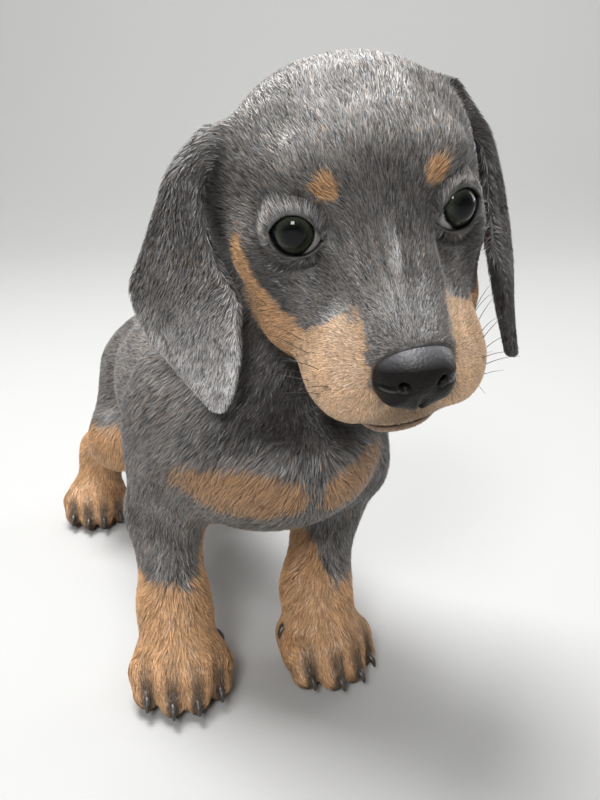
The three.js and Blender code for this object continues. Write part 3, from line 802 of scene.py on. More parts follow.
# %% [markdown]
# ## The nose as a field
#
# The leather of a dog's nose is a cushion with two nostrils like commas, each with a slit
# that runs back round the wing, and a groove down its middle. It is made as a field, like
# the body, because the nostrils and the groove need soft edges. The field comes before
# the markings, which need to know where the leather meets the skin.

# %% The nose as a field
nose_masses = together(
    [
        ball(NOSE_AT + [0, 0, 1.4], [8.8, 7.6, 7.2]),
        *pair(lambda s: ball(NOSE_AT + [s * 4.8, -0.5, -1.6], [4.6, 6.6, 5.8])),
        ball(NOSE_AT + [0, -0.9, -4.6], [5.4, 6.0, 5.2]),
    ],
    2.4,
)


def nose_field(q):
    """The leather, with its nostrils, their slits and the groove taken out."""
    d = nose_masses(q)
    for s in SIDES:
        hole = limb([s * 2.7, -45.6, -14.7], [s * 5.6, -44.4, -13.9], 1.05, 1.1)(q)
        hole = melt(hole, limb([s * 4.2, -45, -14.3], [s * 4.4, -39, -13.0], 1.3, 0.9)(q), 1.0)
        slit = limb([s * 5.6, -44.2, -14.0], [s * 9.8, -38.8, -16.6], 0.75, 0.4)(q)
        d = carve(d, melt(hole, slit, 0.8), 0.6)
    groove = limb([0, -45.6, -16.0], [0, -42.0, -25.0], 0.35, 0.6)(q)
    return carve(d, groove, 0.8)


nose_place = HEAD.point(NOSE_AT)
print("nose at", [round(float(v), 1) for v in nose_place], "mm in the body's frame")

# %% [markdown]
# ## The markings
#
# A blue-and-tan dachshund wears tan in fixed places: a spot over each eye, the cheeks and
# the sides of the muzzle, two patches on the chest, the lower legs, the feet and under the
# tail. They could be painted, but both the skin and every hair on it need them, so they
# are worked out as numbers for any point of the body and kept on the meshes as attributes:
# tan; pale for frosted hair, and for a painted highlight on the crown and the ears' front
# edges; dusk for pencil marks, and for painted shade where little light falls; and bare
# where no hair grows. Noise makes the borders ragged, as hairs of both colours grow there.

# %% Soft noise
# Large odd numbers, which turn the place of a cell into a number that looks random.
SCATTER = (73856093, 19349663, 83492791, 2654435761)
SCATTER_AGAIN = 1274126177


def lattice_noise(p, size, seed):
    """Smooth noise from -1 to 1, that changes over about size millimetres."""
    q = p / size + 57.0
    cell = np.floor(q).astype(np.int64)
    t = q - cell
    t = t * t * (3 - 2 * t)
    total = 0
    for i in (0, 1):
        for j in (0, 1):
            for k in (0, 1):
                x, y, z = cell[0] + i, cell[1] + j, cell[2] + k
                h = (x * SCATTER[0]) ^ (y * SCATTER[1]) ^ (z * SCATTER[2]) ^ (seed * SCATTER[3])
                h = (h ^ (h >> 13)) * SCATTER_AGAIN
                value = ((h ^ (h >> 16)) & 65535) / 32767.5 - 1
                share = [np.where(bit, t[n], 1 - t[n]) for n, bit in enumerate((i, j, k))]
                total = total + value * (share[0] * share[1] * share[2])
    return total


def ragged(p, size=1.6, seed=3):
    """Noise in two sizes, for the borders of the markings."""
    return lattice_noise(p, size, seed) + 0.5 * lattice_noise(p, size * 0.5, seed + 1)


# %% Where the tan is
BROW = dict(at=(12.9, -4.6, 11.4), radii=(3.5, 4.9, 3.7))
BRIDGE_EDGE = [(-45, 8.5), (-34, 9.8), (-27, 9.9), (-21, 12.0), (-15, 18.0), (-10, 21.0), (10, 22.0)]
CHEEK_EDGE = [
    (-45, -3.0), (-27, -3.5), (-24, -5.3), (-21.9, -10.2), (-20.5, -15.5), (-18, -18.2),
    (-12, -18.8), (-7.5, -17.5), (-4, -15.2), (-1, -12.7), (2.4, -9.1), (8, -7.9),
]
LEFT_CHEEK_DROP = 4.0
CHEST_PATCHES = [
    dict(at=(-13.8, 77.8), half=(15.5, 7.4), tilt=-4.0),
    dict(at=(18.5, 79.0), half=(14.5, 7.0), tilt=17.0),
]


def along_curve(points, x):
    table = np.array(points, dtype=float)
    return np.interp(x, table[:, 0], table[:, 1])


def head_tan(q, rough):
    """The spots over the eyes, the muzzle with the cheek strip, and the chin."""
    side = np.abs(q[0])
    brow = length((np.stack([side, q[1], q[2]]) - column(BROW["at"])) / column(BROW["radii"]))
    spot = 1 - smooth(0.75, 1.15, brow + 0.12 * rough)
    past_bridge = side - along_curve(BRIDGE_EDGE, q[1]) + 1.1 * rough
    left_lower = LEFT_CHEEK_DROP * smooth(0, 5, q[0]) * smooth(-16, -11, q[1])
    under_cheek = along_curve(CHEEK_EDGE, q[1]) - left_lower - q[2] + 1.2 * rough
    front = 1 - smooth(7.5, 10.5, q[1] + 0.8 * rough)
    muzzle = smooth(-1.0, 1.2, np.minimum(past_bridge, under_cheek)) * front
    chin = smooth(33, 36, -q[2]) * (1 - smooth(-12, -2, q[1]))
    chin = np.maximum(chin, smooth(19, 22, -q[2]) * (1 - smooth(-31, -28, q[1])))
    return np.maximum(spot, np.maximum(muzzle, chin))


def chest_tan(p, rough):
    tan = 0
    for patch in CHEST_PATCHES:
        a = math.radians(patch["tilt"])
        x, z = p[0] - patch["at"][0], p[2] - patch["at"][1]
        u = (x * math.cos(a) + z * math.sin(a)) / patch["half"][0]
        v = (-x * math.sin(a) + z * math.cos(a)) / patch["half"][1]
        tan = np.maximum(tan, 1 - smooth(0.8, 1.12, np.hypot(u, v) + 0.1 * rough))
    return tan * (1 - smooth(-52, -46, p[1]))


LEG_TAN_TOP = dict(fore=58, hind=56)


def leg_tan(p, rough):
    """Tan below a line, which rises inwards on the forelegs and forwards on the hind legs."""
    right = 36 + 0.35 * np.abs(p[0] + 25) + 2.6 * np.maximum(0, p[0] + 20.5)
    left = 33 + 4.5 * np.maximum(0, 20.5 - p[0])
    fore = np.where(p[0] < 0, right, left)
    fore = np.minimum(fore, LEG_TAN_TOP["fore"])
    hind = 47 + 0.25 * (60 - p[1]) + 0.3 * np.abs(p[0] - 2)
    top = np.where(p[1] < 15, fore, np.minimum(hind, LEG_TAN_TOP["hind"]))
    legs_only = np.maximum(smooth(0, 3, np.abs(p[0]) - 4), 1 - smooth(20, 26, p[2]))
    return (1 - smooth(-2.2, 2.2, p[2] - top + 2.2 * rough)) * legs_only


def vent_tan(p, rough):
    """A spot under the root of the tail."""
    return 1 - smooth(5, 9, length(p - column((0, 103, 68))) + rough)


# %% Marks on the paws, the rims and the lips
TOE_DARK = 0.85
PAW_AREA = dict(side=24, ahead=26, up=24)


def paw_marks(p):
    """Dark pencil streaks along the toes, and bare pads underneath."""
    dusk, pads = 0, 0
    for name in LEGS:
        q = paw_place(name).into(p)
        w = paw_share(name)
        near = (np.abs(q[0]) < PAW_AREA["side"]) & (np.abs(q[1]) < PAW_AREA["ahead"])
        near = near & (q[2] < PAW_AREA["up"])
        streak = 0
        for n in TOES:
            tip = -14 if abs(n) > 1 else -19
            along = smooth(tip + 13, tip + 4, q[1])
            beside = np.abs(q[0] - n * 8.2 * w)
            streak = np.maximum(streak, (1 - smooth(1.0, 3.0, beside)) * along)
        low = 1 - smooth(9, 18, q[2])
        dusk = np.maximum(dusk, near * streak * (0.35 + 0.65 * low))
        pads = np.maximum(pads, near * (1 - smooth(0.9, 2.4, q[2])))
    return dusk * TOE_DARK, pads


def bare_marks(q, on_head):
    """Where no hair grows: the rims of the lids, the lips and the skin under the nose."""
    rims = 1.0
    for s in SIDES:
        rim = np.abs(eye_distance(q, s) - EYE["radius"])
        past_rim = np.maximum(smooth(0.0, 0.5, lid_opening(q, s)), smooth(2.0, 3.0, rim))
        rims = np.minimum(rims, past_rim)
    lip = (1 - smooth(0.7, 1.4, np.abs(q[2] - mouth_height(q[1])))) * (q[1] < MOUTH["corner"])
    under_nose = 1 - smooth(0.0, 0.5, nose_field(q))
    return np.maximum(1 - rims, np.maximum(lip, under_nose) * on_head)


# %% Painted shade and highlights on the head
SHADES = {
    "dusk": [
        # Painted shade: between the brows, on the outer cheek, below the eye, on the skull beside the
        # ear's root and at the inner corner of the eye.
        dict(at=(0, -8, 9), radii=(14, 13, 13), amount=0.5),
        dict(at=(27, -6, -13), radii=(10, 14, 12), amount=0.75),
        dict(at=(15, -7, -9), radii=(8, 7, 7), amount=0.5),
        dict(at=(34, 20, -12), radii=(6, 9, 24), amount=0.9),
        dict(at=(11, -7, 4), radii=(7, 6, 6), amount=0.5),
    ],
    "pale": [
        # Paler hair on the top of the bridge and the sides of the muzzle; the patch on the crown is a
        # painted highlight.
        dict(at=(0, -30, -4), radii=(10, 10, 7), amount=0.55),
        dict(at=(0, 20, 23), radii=(26, 20, 10), amount=0.2),
        dict(at=(14, -26, -12), radii=(7, 9, 8), amount=0.85),
        dict(at=(14, -33, -18), radii=(6, 7, 6), amount=0.8),
    ],
}


def shade(q, kind):
    """Soft patches of painted shade, paler hair and a painted highlight on the head, the same on both
    sides.
    """
    side = np.stack([np.abs(q[0]), q[1], q[2]])
    total = 0
    for patch in SHADES[kind]:
        away = length((side - column(patch["at"])) / column(patch["radii"]))
        total = np.maximum(total, patch["amount"] * (1 - smooth(0.35, 1.2, away)))
    return total


# %% Marks of the ears
# The left ear is painted in shade all over, and has little frost.
LEFT_EAR_IN_SHADE = dict(frost=0.25, dark=0.8)
FOLD_PAINTED_SHADE = 0.95


def ear_marks(p, near, q):
    """Frost low on the leaf and a painted highlight at its front edge; the leaf darker above; painted
    shade on its inner face and in the fold.
    """
    pale = 0
    inside = 0
    for s in SIDES:
        u, v = on_leaf(p, s)
        leaf = 1 - smooth(0.5, 1.5, ear_fields[s](p)[0])
        outer = smooth(-0.6, 0.4, above_leaf(p, s))
        edge = np.abs(u - np.interp(v, FRONT_EDGE[:, 1], FRONT_EDGE[:, 0]))
        # Frost low on the leaf, and a painted highlight along its front edge.
        frost = 0.65 * smooth(30, 52, v) + 0.6 * (1 - smooth(0.8, 2.0, edge)) * smooth(2, 8, v)
        pale = np.maximum(pale, leaf * outer * frost * (LEFT_EAR_IN_SHADE["frost"] if s == 1 else 1))
        # Painted shade on the inner face of the leaf, which is also darker towards its top.
        dark = 0.45 + 0.3 * (1 - outer) - 0.45 * smooth(18, 44, v)
        inside = np.maximum(inside, leaf * (LEFT_EAR_IN_SHADE["dark"] if s == 1 else dark))
    # Painted shade in the fold where the ear meets the skull.
    fold = FOLD_PAINTED_SHADE * (1 - smooth(2.5, 7.5, near)) * smooth(0.8, 1.6, near)
    fold = fold * (1 - smooth(2, 8, q[2]))
    return pale, np.maximum(fold * (near > 0.8), inside)


# %% Small marks of the face
WHISKER_ROWS = [(-33, -22.0), (-32, -25.5), (-31, -29.0), (-30, -32.5)]
WHISKERS_EACH = 4
WHISKER_GAP = 4.2
LID_LINE = dict(out=1.7, reach=12, pale=0.4)


def follicle_spots(q):
    """Dark dots in rows, where the whiskers grow."""
    side = np.stack([np.abs(q[0]), q[1], q[2]])
    spots = 0
    for y, z in WHISKER_ROWS:
        for n in range(WHISKERS_EACH):
            near = np.hypot(side[1] - y - WHISKER_GAP * n, side[2] - z)
            spots = np.maximum(spots, (1 - smooth(0.3, 1.0, near)) * (side[0] > 8))
    return 0.55 * spots


def blaze_mark(q, rough):
    """A thin pale streak on the bridge of the muzzle."""
    blaze = (1 - smooth(0.6, 2.2, np.abs(q[0] + 0.6) + 0.5 * rough)) * smooth(-26, -21, q[1])
    return 0.7 * blaze * (1 - smooth(-15, -10, q[1])) * (q[2] > -4)


def lid_mark(q):
    """A thin pale line just outside the upper lid."""
    lines = []
    for s in SIDES:
        too_far = 3.0 * (eye_distance(q, s) > LID_LINE["reach"])
        lines.append(np.abs(lid_opening(q, s) - LID_LINE["out"]) + too_far)
    return LID_LINE["pale"] * (1 - smooth(0.3, 0.9, np.minimum(*lines))) * smooth(-6, 0, q[2])


def shaded_below(q):
    """Painted shade under the chin, and just under the nose, where little light falls."""
    chin = 0.45 * smooth(27, 36, -q[2]) * (1 - smooth(-16, -8, q[1]))
    return np.maximum(chin, 0.6 * (1 - smooth(0.8, 4.5, nose_field(q))) * smooth(21, 26, -q[2]))


# %% The four marks of any point
MUZZLE_PALE = 0.55
# Painted shade on the tan chest patches, which lie under the head.
CHEST_PAINTED_SHADE = 0.35
# Painted shade on the throat, under the head.
THROAT_PAINTED_SHADE = 0.85


def marks(p):
    q = HEAD.into(p)
    rough = ragged(p)
    ear = ear_distance(p)
    on_head = (1 - smooth(0.5, 2.5, head_field(p))) * smooth(0.3, 1.2, ear)
    chest = chest_tan(p, rough)
    tan = np.maximum(head_tan(q, rough) * on_head, chest)
    tan = np.maximum(tan, np.maximum(leg_tan(p, rough), vent_tan(p, rough)))
    muzzle = MUZZLE_PALE * (1 - smooth(-24, -12, q[1]))
    ear_pale, fold = ear_marks(p, ear, q)
    pale = np.maximum(blaze_mark(q, rough), lid_mark(q))
    pale = np.maximum(pale, np.maximum(muzzle * tan, shade(q, "pale")))
    pale = np.maximum(pale * on_head, ear_pale)
    # Painted shade on the throat, under the head.
    throat = THROAT_PAINTED_SHADE * smooth(84, 96, p[2]) * (1 - smooth(-70, -55, p[1]))
    throat = throat * (1 - on_head) * smooth(1, 3, ear)
    dusk, pads = paw_marks(p)
    # Painted shade on the slate hair: the throat, the ear's fold and inner face, and the head's dusk
    # patches.
    slate = np.maximum(np.maximum(throat, fold), on_head * shade(q, "dusk"))
    dusk = np.maximum(dusk, slate * (1 - tan))
    # Painted shade under the chin and the nose, and the dark whisker follicles.
    dusk = np.maximum(dusk, np.maximum(shaded_below(q), follicle_spots(q)) * on_head)
    # Painted shade on the chest patches.
    dusk = np.maximum(dusk, CHEST_PAINTED_SHADE * chest)
    bare = np.maximum(bare_marks(q, on_head), pads)
    return dict(tan=tan, pale=pale, dusk=dusk, bare=bare)


def set_marks(mesh, values):
    for name, value in values.items():
        attribute = mesh.attributes.new(name, "FLOAT", "POINT")
        attribute.data.foreach_set("value", np.asarray(value, dtype=np.float32))


skin_at = to_body(vertex_points(skin.data))
skin_marks = marks(skin_at)
set_marks(skin.data, skin_marks)
print({kind: round(float(value.mean()), 3) for kind, value in skin_marks.items()})

# %% [markdown]
# ## The lie of the coat
#
# Short hair doesn't stand up: it is swept back from the nose, over the skull, down the
# ears and the neck, along the trunk and down the legs. Each part of the body is given a
# direction, and where parts meet the directions are blended by nearness. What is left
# is laid along the skin.

# %% Directions, part by part
HAIR_SOURCE = (0, -42, -9)


def head_flow(p):
    q = HEAD.into(p)
    away = q - column(HAIR_SOURCE)
    away = away / np.maximum(length(away), 1e-6)
    away[1] += 0.3
    away[2] -= 0.5 * smooth(2, -22, q[2])
    for s in SIDES:
        from_eye = q - column(eye_centre(s))
        far = length(from_eye)
        away += 1.6 * (1 - smooth(8, 14, far)) * from_eye / far
    return HEAD.turn @ away


def ear_flow(p):
    left = HEAD.into(p)[0] > 0
    ways = [ear_axes(s)[1] + 0.22 * ear_axes(s)[0] for s in SIDES]
    return np.where(left, column(ways[0]), column(ways[1]))


CHEST_PARTING = 3.3


def trunk_flow(p):
    """Backwards along the trunk, and down and apart on the chest."""
    back = column((0, 1, -0.28)) * np.ones_like(p[:1])
    aside = p[0] - CHEST_PARTING
    apart = np.stack([
        0.55 * np.sign(aside) * smooth(0, 9, np.abs(aside)), 0.2 + 0 * p[0], -0.85 + 0 * p[0],
    ])
    front = 1 - smooth(-66, -44, p[1])
    return back * (1 - front) + apart * front


def steady(v):
    """The same direction everywhere."""
    return lambda p: column(v) * np.ones_like(p[:1])


def paw_flow(p):
    total = np.zeros_like(p)
    for name, field in paw_fields.items():
        ahead = paw_place(name).turn @ column((0, -1, -0.55))
        total += ahead * (field(p) < 3)
    return total + column((0, -0.05, -0.1))


fore_legs = [leg_fields[n] for n in LEGS if n.startswith("fore")]
hind_legs = [leg_fields[n] for n in LEGS if n.startswith("hind")]
PARTS = {
    "head": (head_field, head_flow),
    "ears": (lambda p: ear_distance(p) - 0.6, ear_flow),
    "neck": (neck_field, steady((-0.1, 0.4, -0.9))),
    "trunk": (trunk_field, trunk_flow),
    "tail": (tail_field, steady((0.25, 0.88, -0.4))),
    "forelegs": (lambda p: least(fore_legs, p), steady((0, 0.3, -0.95))),
    "hindlegs": (lambda p: least(hind_legs, p), steady((0, 0.55, -0.85))),
    "paws": (lambda p: least(paw_fields.values(), p), paw_flow),
}
PART_NAMES = list(PARTS)

# %% Hair length, part by part, in millimetres
HAIR_LONG = {
    "head": 3.4, "ears": 3.2, "neck": 4.2, "trunk": 4.7,
    "tail": 4.3, "forelegs": 3.6, "hindlegs": 3.9, "paws": 2.2,
}
PART_BLEND = 3.5
MUZZLE_SHORTER = 0.6


def coat_plan(p):
    """For each point: its part, the direction of its hair and how long the hair is."""
    distance = np.stack([field(p) for field, _ in PARTS.values()])
    part = distance.argmin(axis=0)
    share = np.exp(-(distance - distance.min(axis=0)) / PART_BLEND)
    share /= share.sum(axis=0)
    way = sum(w * flow(p) for w, (_, flow) in zip(share, PARTS.values()))
    long = sum(w * HAIR_LONG[name] for w, name in zip(share, PART_NAMES))
    q = HEAD.into(p)
    muzzle = (length(q) < 66) * (1 - smooth(-34, 12, q[1]))
    return part, way, long * (1 - muzzle * MUZZLE_SHORTER)


# %% The plan at every point of the skin
normals = np.empty(len(skin.data.vertices) * 3, dtype=np.float32)
skin.data.vertex_normals.foreach_get("vector", normals)
skin_out = normals.reshape(-1, 3).T.astype(float)
part_of, hair_way, hair_long = coat_plan(skin_at)
print("hair is", round(float(hair_long.min()), 1), "to", round(float(hair_long.max()), 1), "mm long")
way_along = hair_way - skin_out * (hair_way * skin_out).sum(axis=0)
way_along = way_along / np.maximum(length(way_along), 1e-9)
hair_marks = marks(skin_at + way_along * hair_long * 0.5)
hair_marks["bare"] = skin_marks["bare"]

# %% [markdown]
# ## An unwrap for the coat
#
# Textures that are baked later need every hair's colour at a place of its own. The skin
# is unwrapped once, and each hair takes a small patch at its root's place in that map.

# %% The unwrap
def unwrap(obj):
    obj.data.uv_layers.new(name="OFBake")
    bpy.context.view_layer.objects.active = obj
    obj.select_set(True)
    bpy.ops.object.mode_set(mode="EDIT")
    bpy.ops.mesh.select_all(action="SELECT")
    bpy.ops.uv.smart_project(angle_limit=math.radians(66), island_margin=0.002)
    bpy.ops.object.mode_set(mode="OBJECT")
    obj.select_set(False)


unwrap(skin)
print("the skin is unwrapped:", len(skin.data.uv_layers["OFBake"].data), "corners")

# %% [markdown]
# ## Growing the coat
#
# Blender's own hair would be quick, but it isn't a mesh. Here each hair lock is a thin
# blade of three triangles: two roots, two points at its middle and one tip. Roots are
# scattered over the skin by area, blades follow the plan, and neighbours lean together
# in small clumps. The blade is then fitted to the curve of the body by the field. Near
# the border of two colours chance moves each blade towards one of them, so that hairs of
# both stand side by side.

# %% Where the roots are
COVER = 3.1
BLADE_FILL = 0.6


def hair_width(long):
    return 0.14 + 0.032 * long


def scatter_roots(mesh):
    """Random places on the skin, and how to read any value of the skin there."""
    mesh.calc_loop_triangles()
    count = len(mesh.loop_triangles)
    corners = np.empty(count * 3, dtype=np.int32)
    loops = np.empty(count * 3, dtype=np.int32)
    mesh.loop_triangles.foreach_get("vertices", corners)
    mesh.loop_triangles.foreach_get("loops", loops)
    corners, loops = corners.reshape(-1, 3), loops.reshape(-1, 3)
    a, b, c = (skin_at[:, corners[:, n]] for n in range(3))
    area = length(np.cross((b - a).T, (c - a).T).T) / 2
    long = hair_long[corners].mean(axis=1)
    wide = hair_width(long)
    expected = area * COVER / (long * wide * BLADE_FILL)
    number = np.floor(expected + RNG.random(count)).astype(int)
    chosen = np.repeat(np.arange(count), number)
    r = np.sqrt(RNG.random(len(chosen)))
    t = RNG.random(len(chosen))
    weights = np.stack([1 - r, r * (1 - t), r * t])
    return corners[chosen], loops[chosen], weights


root_corners, root_loops, root_weights = scatter_roots(skin.data)


def at_roots(values):
    """Reads rows of skin values, such as places or marks, at the roots."""
    values = np.atleast_2d(values)
    return sum(values[:, root_corners[:, n]] * root_weights[n] for n in range(3))


# %% Thin out where no hair grows, and mix the hairs at the borders
MIXED = 0.45
root_marks = {name: at_roots(value)[0] for name, value in hair_marks.items()}
grows = (root_marks["bare"] < 0.35) & (at_roots(skin_at)[2] > 0.9)
root_corners, root_loops = root_corners[grows], root_loops[grows]
root_weights = root_weights[:, grows]
root_marks = {name: value[grows] for name, value in root_marks.items()}
chance = RNG.uniform(-MIXED, MIXED, int(grows.sum()))
root_marks["tan"] = smooth(0.25, 0.75, root_marks["tan"] + chance)
print("blades in the coat:", int(grows.sum()))

# %% Blades along the lie of the coat
CLUMP_TURN = 13.0
STRAY_TURN = 10.0
LONG_RANGE = (0.75, 1.15)
WIDE_RANGE = (0.8, 1.2)
ROLL_RANGE = (-38, 38)
LIFT_RANGE = (0.55, 1.25)
CLUMP_SIZE = 5.0
MIDDLE_LIFT = 0.62
MIDDLE_WIDE = 0.8
ROOT_DEEP = 0.15


def unit(v):
    return v / np.maximum(length(v), 1e-9)


def cross(a, b):
    return np.cross(a.T, b.T).T


def on_field(p, out, wanted, most=1.6):
    """Slides points along out until they stand at the wanted height over the skin."""
    height = np.concatenate([skin_field(part) for part in np.array_split(p, 6, axis=1)])
    return p + out * np.clip(wanted - height, -most, most)


def grow_blades():
    at, out = at_roots(skin_at), unit(at_roots(skin_out))
    count = at.shape[1]
    way = at_roots(hair_way)
    way = unit(way - out * (way * out).sum(axis=0))
    across = cross(way, out)
    clump = CLUMP_TURN * 1.4 * lattice_noise(at, CLUMP_SIZE, 11)
    turn = np.radians(clump + STRAY_TURN * RNG.normal(size=count))
    turned = way * np.cos(turn) + across * np.sin(turn)
    across = across * np.cos(turn) - way * np.sin(turn)
    way = turned
    long = at_roots(hair_long)[0] * RNG.uniform(*LONG_RANGE, count)
    wide = hair_width(long) * RNG.uniform(*WIDE_RANGE, count)
    roll = np.radians(RNG.uniform(*ROLL_RANGE, count))
    side = across * np.cos(roll) + out * np.sin(roll)
    rise = coat_depth(at) * RNG.uniform(*LIFT_RANGE, count)
    middle = on_field(at + way * long * 0.5, out, MIDDLE_LIFT * rise)
    tip = on_field(at + way * long, out, rise)
    root = at - out * ROOT_DEEP
    half = side * wide / 2
    narrow = half * MIDDLE_WIDE
    points = np.stack([root - half, root + half, middle - narrow, middle + narrow, tip])
    return points.transpose(2, 0, 1)


blades = grow_blades()
print("blades are grown")

# %% Objects of the coat
BLADE_FACES = np.array([(0, 1, 3), (0, 3, 2), (2, 3, 4)])
BLADE_ALONG = [0.0, 0.0, 0.55, 0.55, 1.0]
BLADE_POINTS = len(BLADE_ALONG)
BLADE_UV = np.array([
    (-0.0015, -0.0015), (0.0015, -0.0015), (-0.0012, 0.0), (0.0012, 0.0), (0.0, 0.0015),
])
BLADES_EACH = 64000
HAIR_MARKS = ("tan", "pale", "dusk")
TONE = dict(hair=0.6, streak=0.8, patch=0.3)


def root_uv():
    flat = np.empty(len(skin.data.loops) * 2, dtype=np.float32)
    skin.data.uv_layers["OFBake"].data.foreach_get("uv", flat)
    uv = flat.reshape(-1, 2)
    return sum(uv[root_loops[:, n]] * root_weights[n][:, None] for n in range(3))


def coat_piece(name, chosen, uv, tone):
    points = blades[chosen].reshape(-1, 3)
    starts = BLADE_POINTS * np.arange(len(chosen))[:, None, None]
    faces = (BLADE_FACES[None] + starts).reshape(-1, 3)
    piece = new_object(name, points, faces)
    marks_here = {kind: np.repeat(root_marks[kind][chosen], BLADE_POINTS) for kind in HAIR_MARKS}
    marks_here["along"] = np.tile(BLADE_ALONG, len(chosen))
    marks_here["tone"] = np.repeat(tone[chosen], BLADE_POINTS)
    set_marks(piece.data, marks_here)
    places = (uv[chosen][:, None, :] + BLADE_UV[None]).reshape(-1, 2)[faces.ravel()]
    layer = piece.data.uv_layers.new(name="OFBake")
    layer.data.foreach_set("uv", np.clip(places, 0, 1).astype(np.float32).ravel())
    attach(piece, "root")
    return piece


def coat_pieces():
    uv = root_uv()
    at = at_roots(skin_at)
    way = at_roots(way_along)
    streak = at - 0.8 * way * (way * at).sum(axis=0)
    tone = TONE["hair"] * RNG.uniform(-1, 1, at.shape[1])
    tone = tone + TONE["streak"] * lattice_noise(streak, 0.8, 23)
    tone = tone + TONE["patch"] * lattice_noise(at, 5.0, 29)
    part = part_of[root_corners[:, 0]]
    pieces = []
    for n, name in enumerate(PART_NAMES):
        members = np.flatnonzero(part == n)
        parts = max(1, math.ceil(len(members) / BLADES_EACH))
        for m, chosen in enumerate(np.array_split(members, parts)):
            pieces.append(coat_piece(f"coat_{name}_{m + 1}", chosen, uv, tone))
    return pieces


coat = coat_pieces()
print({piece.name: len(piece.data.polygons) for piece in coat})

# %% [markdown]
# ## The colour of hair
#
# Blue is what breeders call black hair thinned to slate grey. Each hair is darker at its
# root and paler towards its tip, which gives the coat its frosted look. Every blade also
# has a tone of its own, brighter or dimmer, and the slate hairs differ more than the tan
# ones. Skin and hair share one node group, so that their markings always agree. A
# material could be painted by hand, but then it would fit only one skin.

# %% Helpers for nodes
def wire(tree, value, socket):
    """Sets a socket to a number or colour, or links it to another socket."""
    if isinstance(value, bpy.types.NodeSocket):
        tree.links.new(value, socket)
    else:
        socket.default_value = value


COLOUR_A, COLOUR_B, COLOUR_OUT = 6, 7, 2


def mix_colour(tree, factor, a, b, blend="MIX"):
    node = tree.nodes.new("ShaderNodeMix")
    node.data_type = "RGBA"
    node.blend_type = blend
    wire(tree, factor, node.inputs["Factor"])
    wire(tree, a, node.inputs[COLOUR_A])
    wire(tree, b, node.inputs[COLOUR_B])
    return node.outputs[COLOUR_OUT]


def calculate(tree, operation, a, b):
    node = tree.nodes.new("ShaderNodeMath")
    node.operation = operation
    wire(tree, a, node.inputs[0])
    wire(tree, b, node.inputs[1])
    return node.outputs[0]


def ramp(tree, value, low, high, from_value=0.0, to_value=1.0):
    """Turns low to high into from_value to to_value, and stays at the ends past them."""
    node = tree.nodes.new("ShaderNodeMapRange")
    for value_in, socket in zip((value, low, high, from_value, to_value), node.inputs):
        wire(tree, value_in, socket)
    return node.outputs[0]


def mark(tree, name):
    """Reads one of the numbers that the mesh holds at its points."""
    node = tree.nodes.new("ShaderNodeAttribute")
    node.attribute_name = name
    return node.outputs["Fac"]


def grain(tree, size, detail=2.0):
    """Noise over the object, its size in millimetres."""
    place = tree.nodes.new("ShaderNodeTexCoord").outputs["Object"]
    noise = tree.nodes.new("ShaderNodeTexNoise")
    tree.links.new(place, noise.inputs["Vector"])
    noise.inputs["Scale"].default_value = 1000.0 / size
    noise.inputs["Detail"].default_value = detail
    return noise.outputs[0]


# %% The coat's colour, as a group
SLATE_ROOT, SLATE_TIP = (0.012, 0.0115, 0.011, 1), (0.235, 0.227, 0.22, 1)
TAN_ROOT, TAN_TIP = (0.20, 0.095, 0.04, 1), (0.77, 0.46, 0.235, 1)
# The frost colour also paints the highlights on the crown and the ears' front edges.
FROST_AND_PAINTED_HIGHLIGHT, CREAM = (0.66, 0.65, 0.65, 1), (0.92, 0.72, 0.52, 1)
# The pencil colour also paints shade, wherever dusk marks it.
PENCIL_AND_PAINTED_SHADE = (0.02, 0.017, 0.017, 1)
SLATE_TONES = (0.12, 1.95)
TAN_TONES = (0.5, 1.45)


def coat_colour_group():
    group = bpy.data.node_groups.new("coat_colour", "ShaderNodeTree")
    for name in ("Tan", "Pale", "Dusk", "Along", "Tone"):
        group.interface.new_socket(name=name, in_out="INPUT", socket_type="NodeSocketFloat")
    group.interface.new_socket(name="Colour", in_out="OUTPUT", socket_type="NodeSocketColor")
    given = group.nodes.new("NodeGroupInput").outputs
    done = group.nodes.new("NodeGroupOutput").inputs
    slate = mix_colour(group, given["Along"], SLATE_ROOT, SLATE_TIP)
    tan = mix_colour(group, given["Along"], TAN_ROOT, TAN_TIP)
    coat = mix_colour(group, given["Tan"], slate, tan)
    # Pale mixes in frost, and the painted highlights.
    frosted = calculate(group, "MULTIPLY", given["Pale"], given["Along"])
    frost = mix_colour(group, given["Tan"], FROST_AND_PAINTED_HIGHLIGHT, CREAM)
    coat = mix_colour(group, frosted, coat, frost)
    # Dusk mixes in pencil marks and painted shade.
    coat = mix_colour(group, given["Dusk"], coat, PENCIL_AND_PAINTED_SHADE)
    lively = ramp(group, given["Tone"], -1.0, 1.0, *SLATE_TONES)
    quiet = ramp(group, given["Tone"], -1.0, 1.0, *TAN_TONES)
    brightness = mix_colour(group, given["Tan"], lively, quiet)
    coat = mix_colour(group, 1.0, coat, brightness, "MULTIPLY")
    group.links.new(coat, done["Colour"])
    return group


COAT_COLOUR = coat_colour_group()


def coat_colour(tree, along, tone):
    node = tree.nodes.new("ShaderNodeGroup")
    node.node_tree = COAT_COLOUR
    for name in ("Tan", "Pale", "Dusk"):
        tree.links.new(mark(tree, name.lower()), node.inputs[name])
    wire(tree, along, node.inputs["Along"])
    wire(tree, tone, node.inputs["Tone"])
    return node.outputs[0]


# %% Materials of coat and skin
def new_material(name, **constants):
    material = bpy.data.materials.new(name)
    material.use_nodes = True
    tree = material.node_tree
    shader = tree.nodes["Principled BSDF"]
    for socket, value in constants.items():
        shader.inputs[socket.replace("_", " ")].default_value = value
    return material, tree, shader


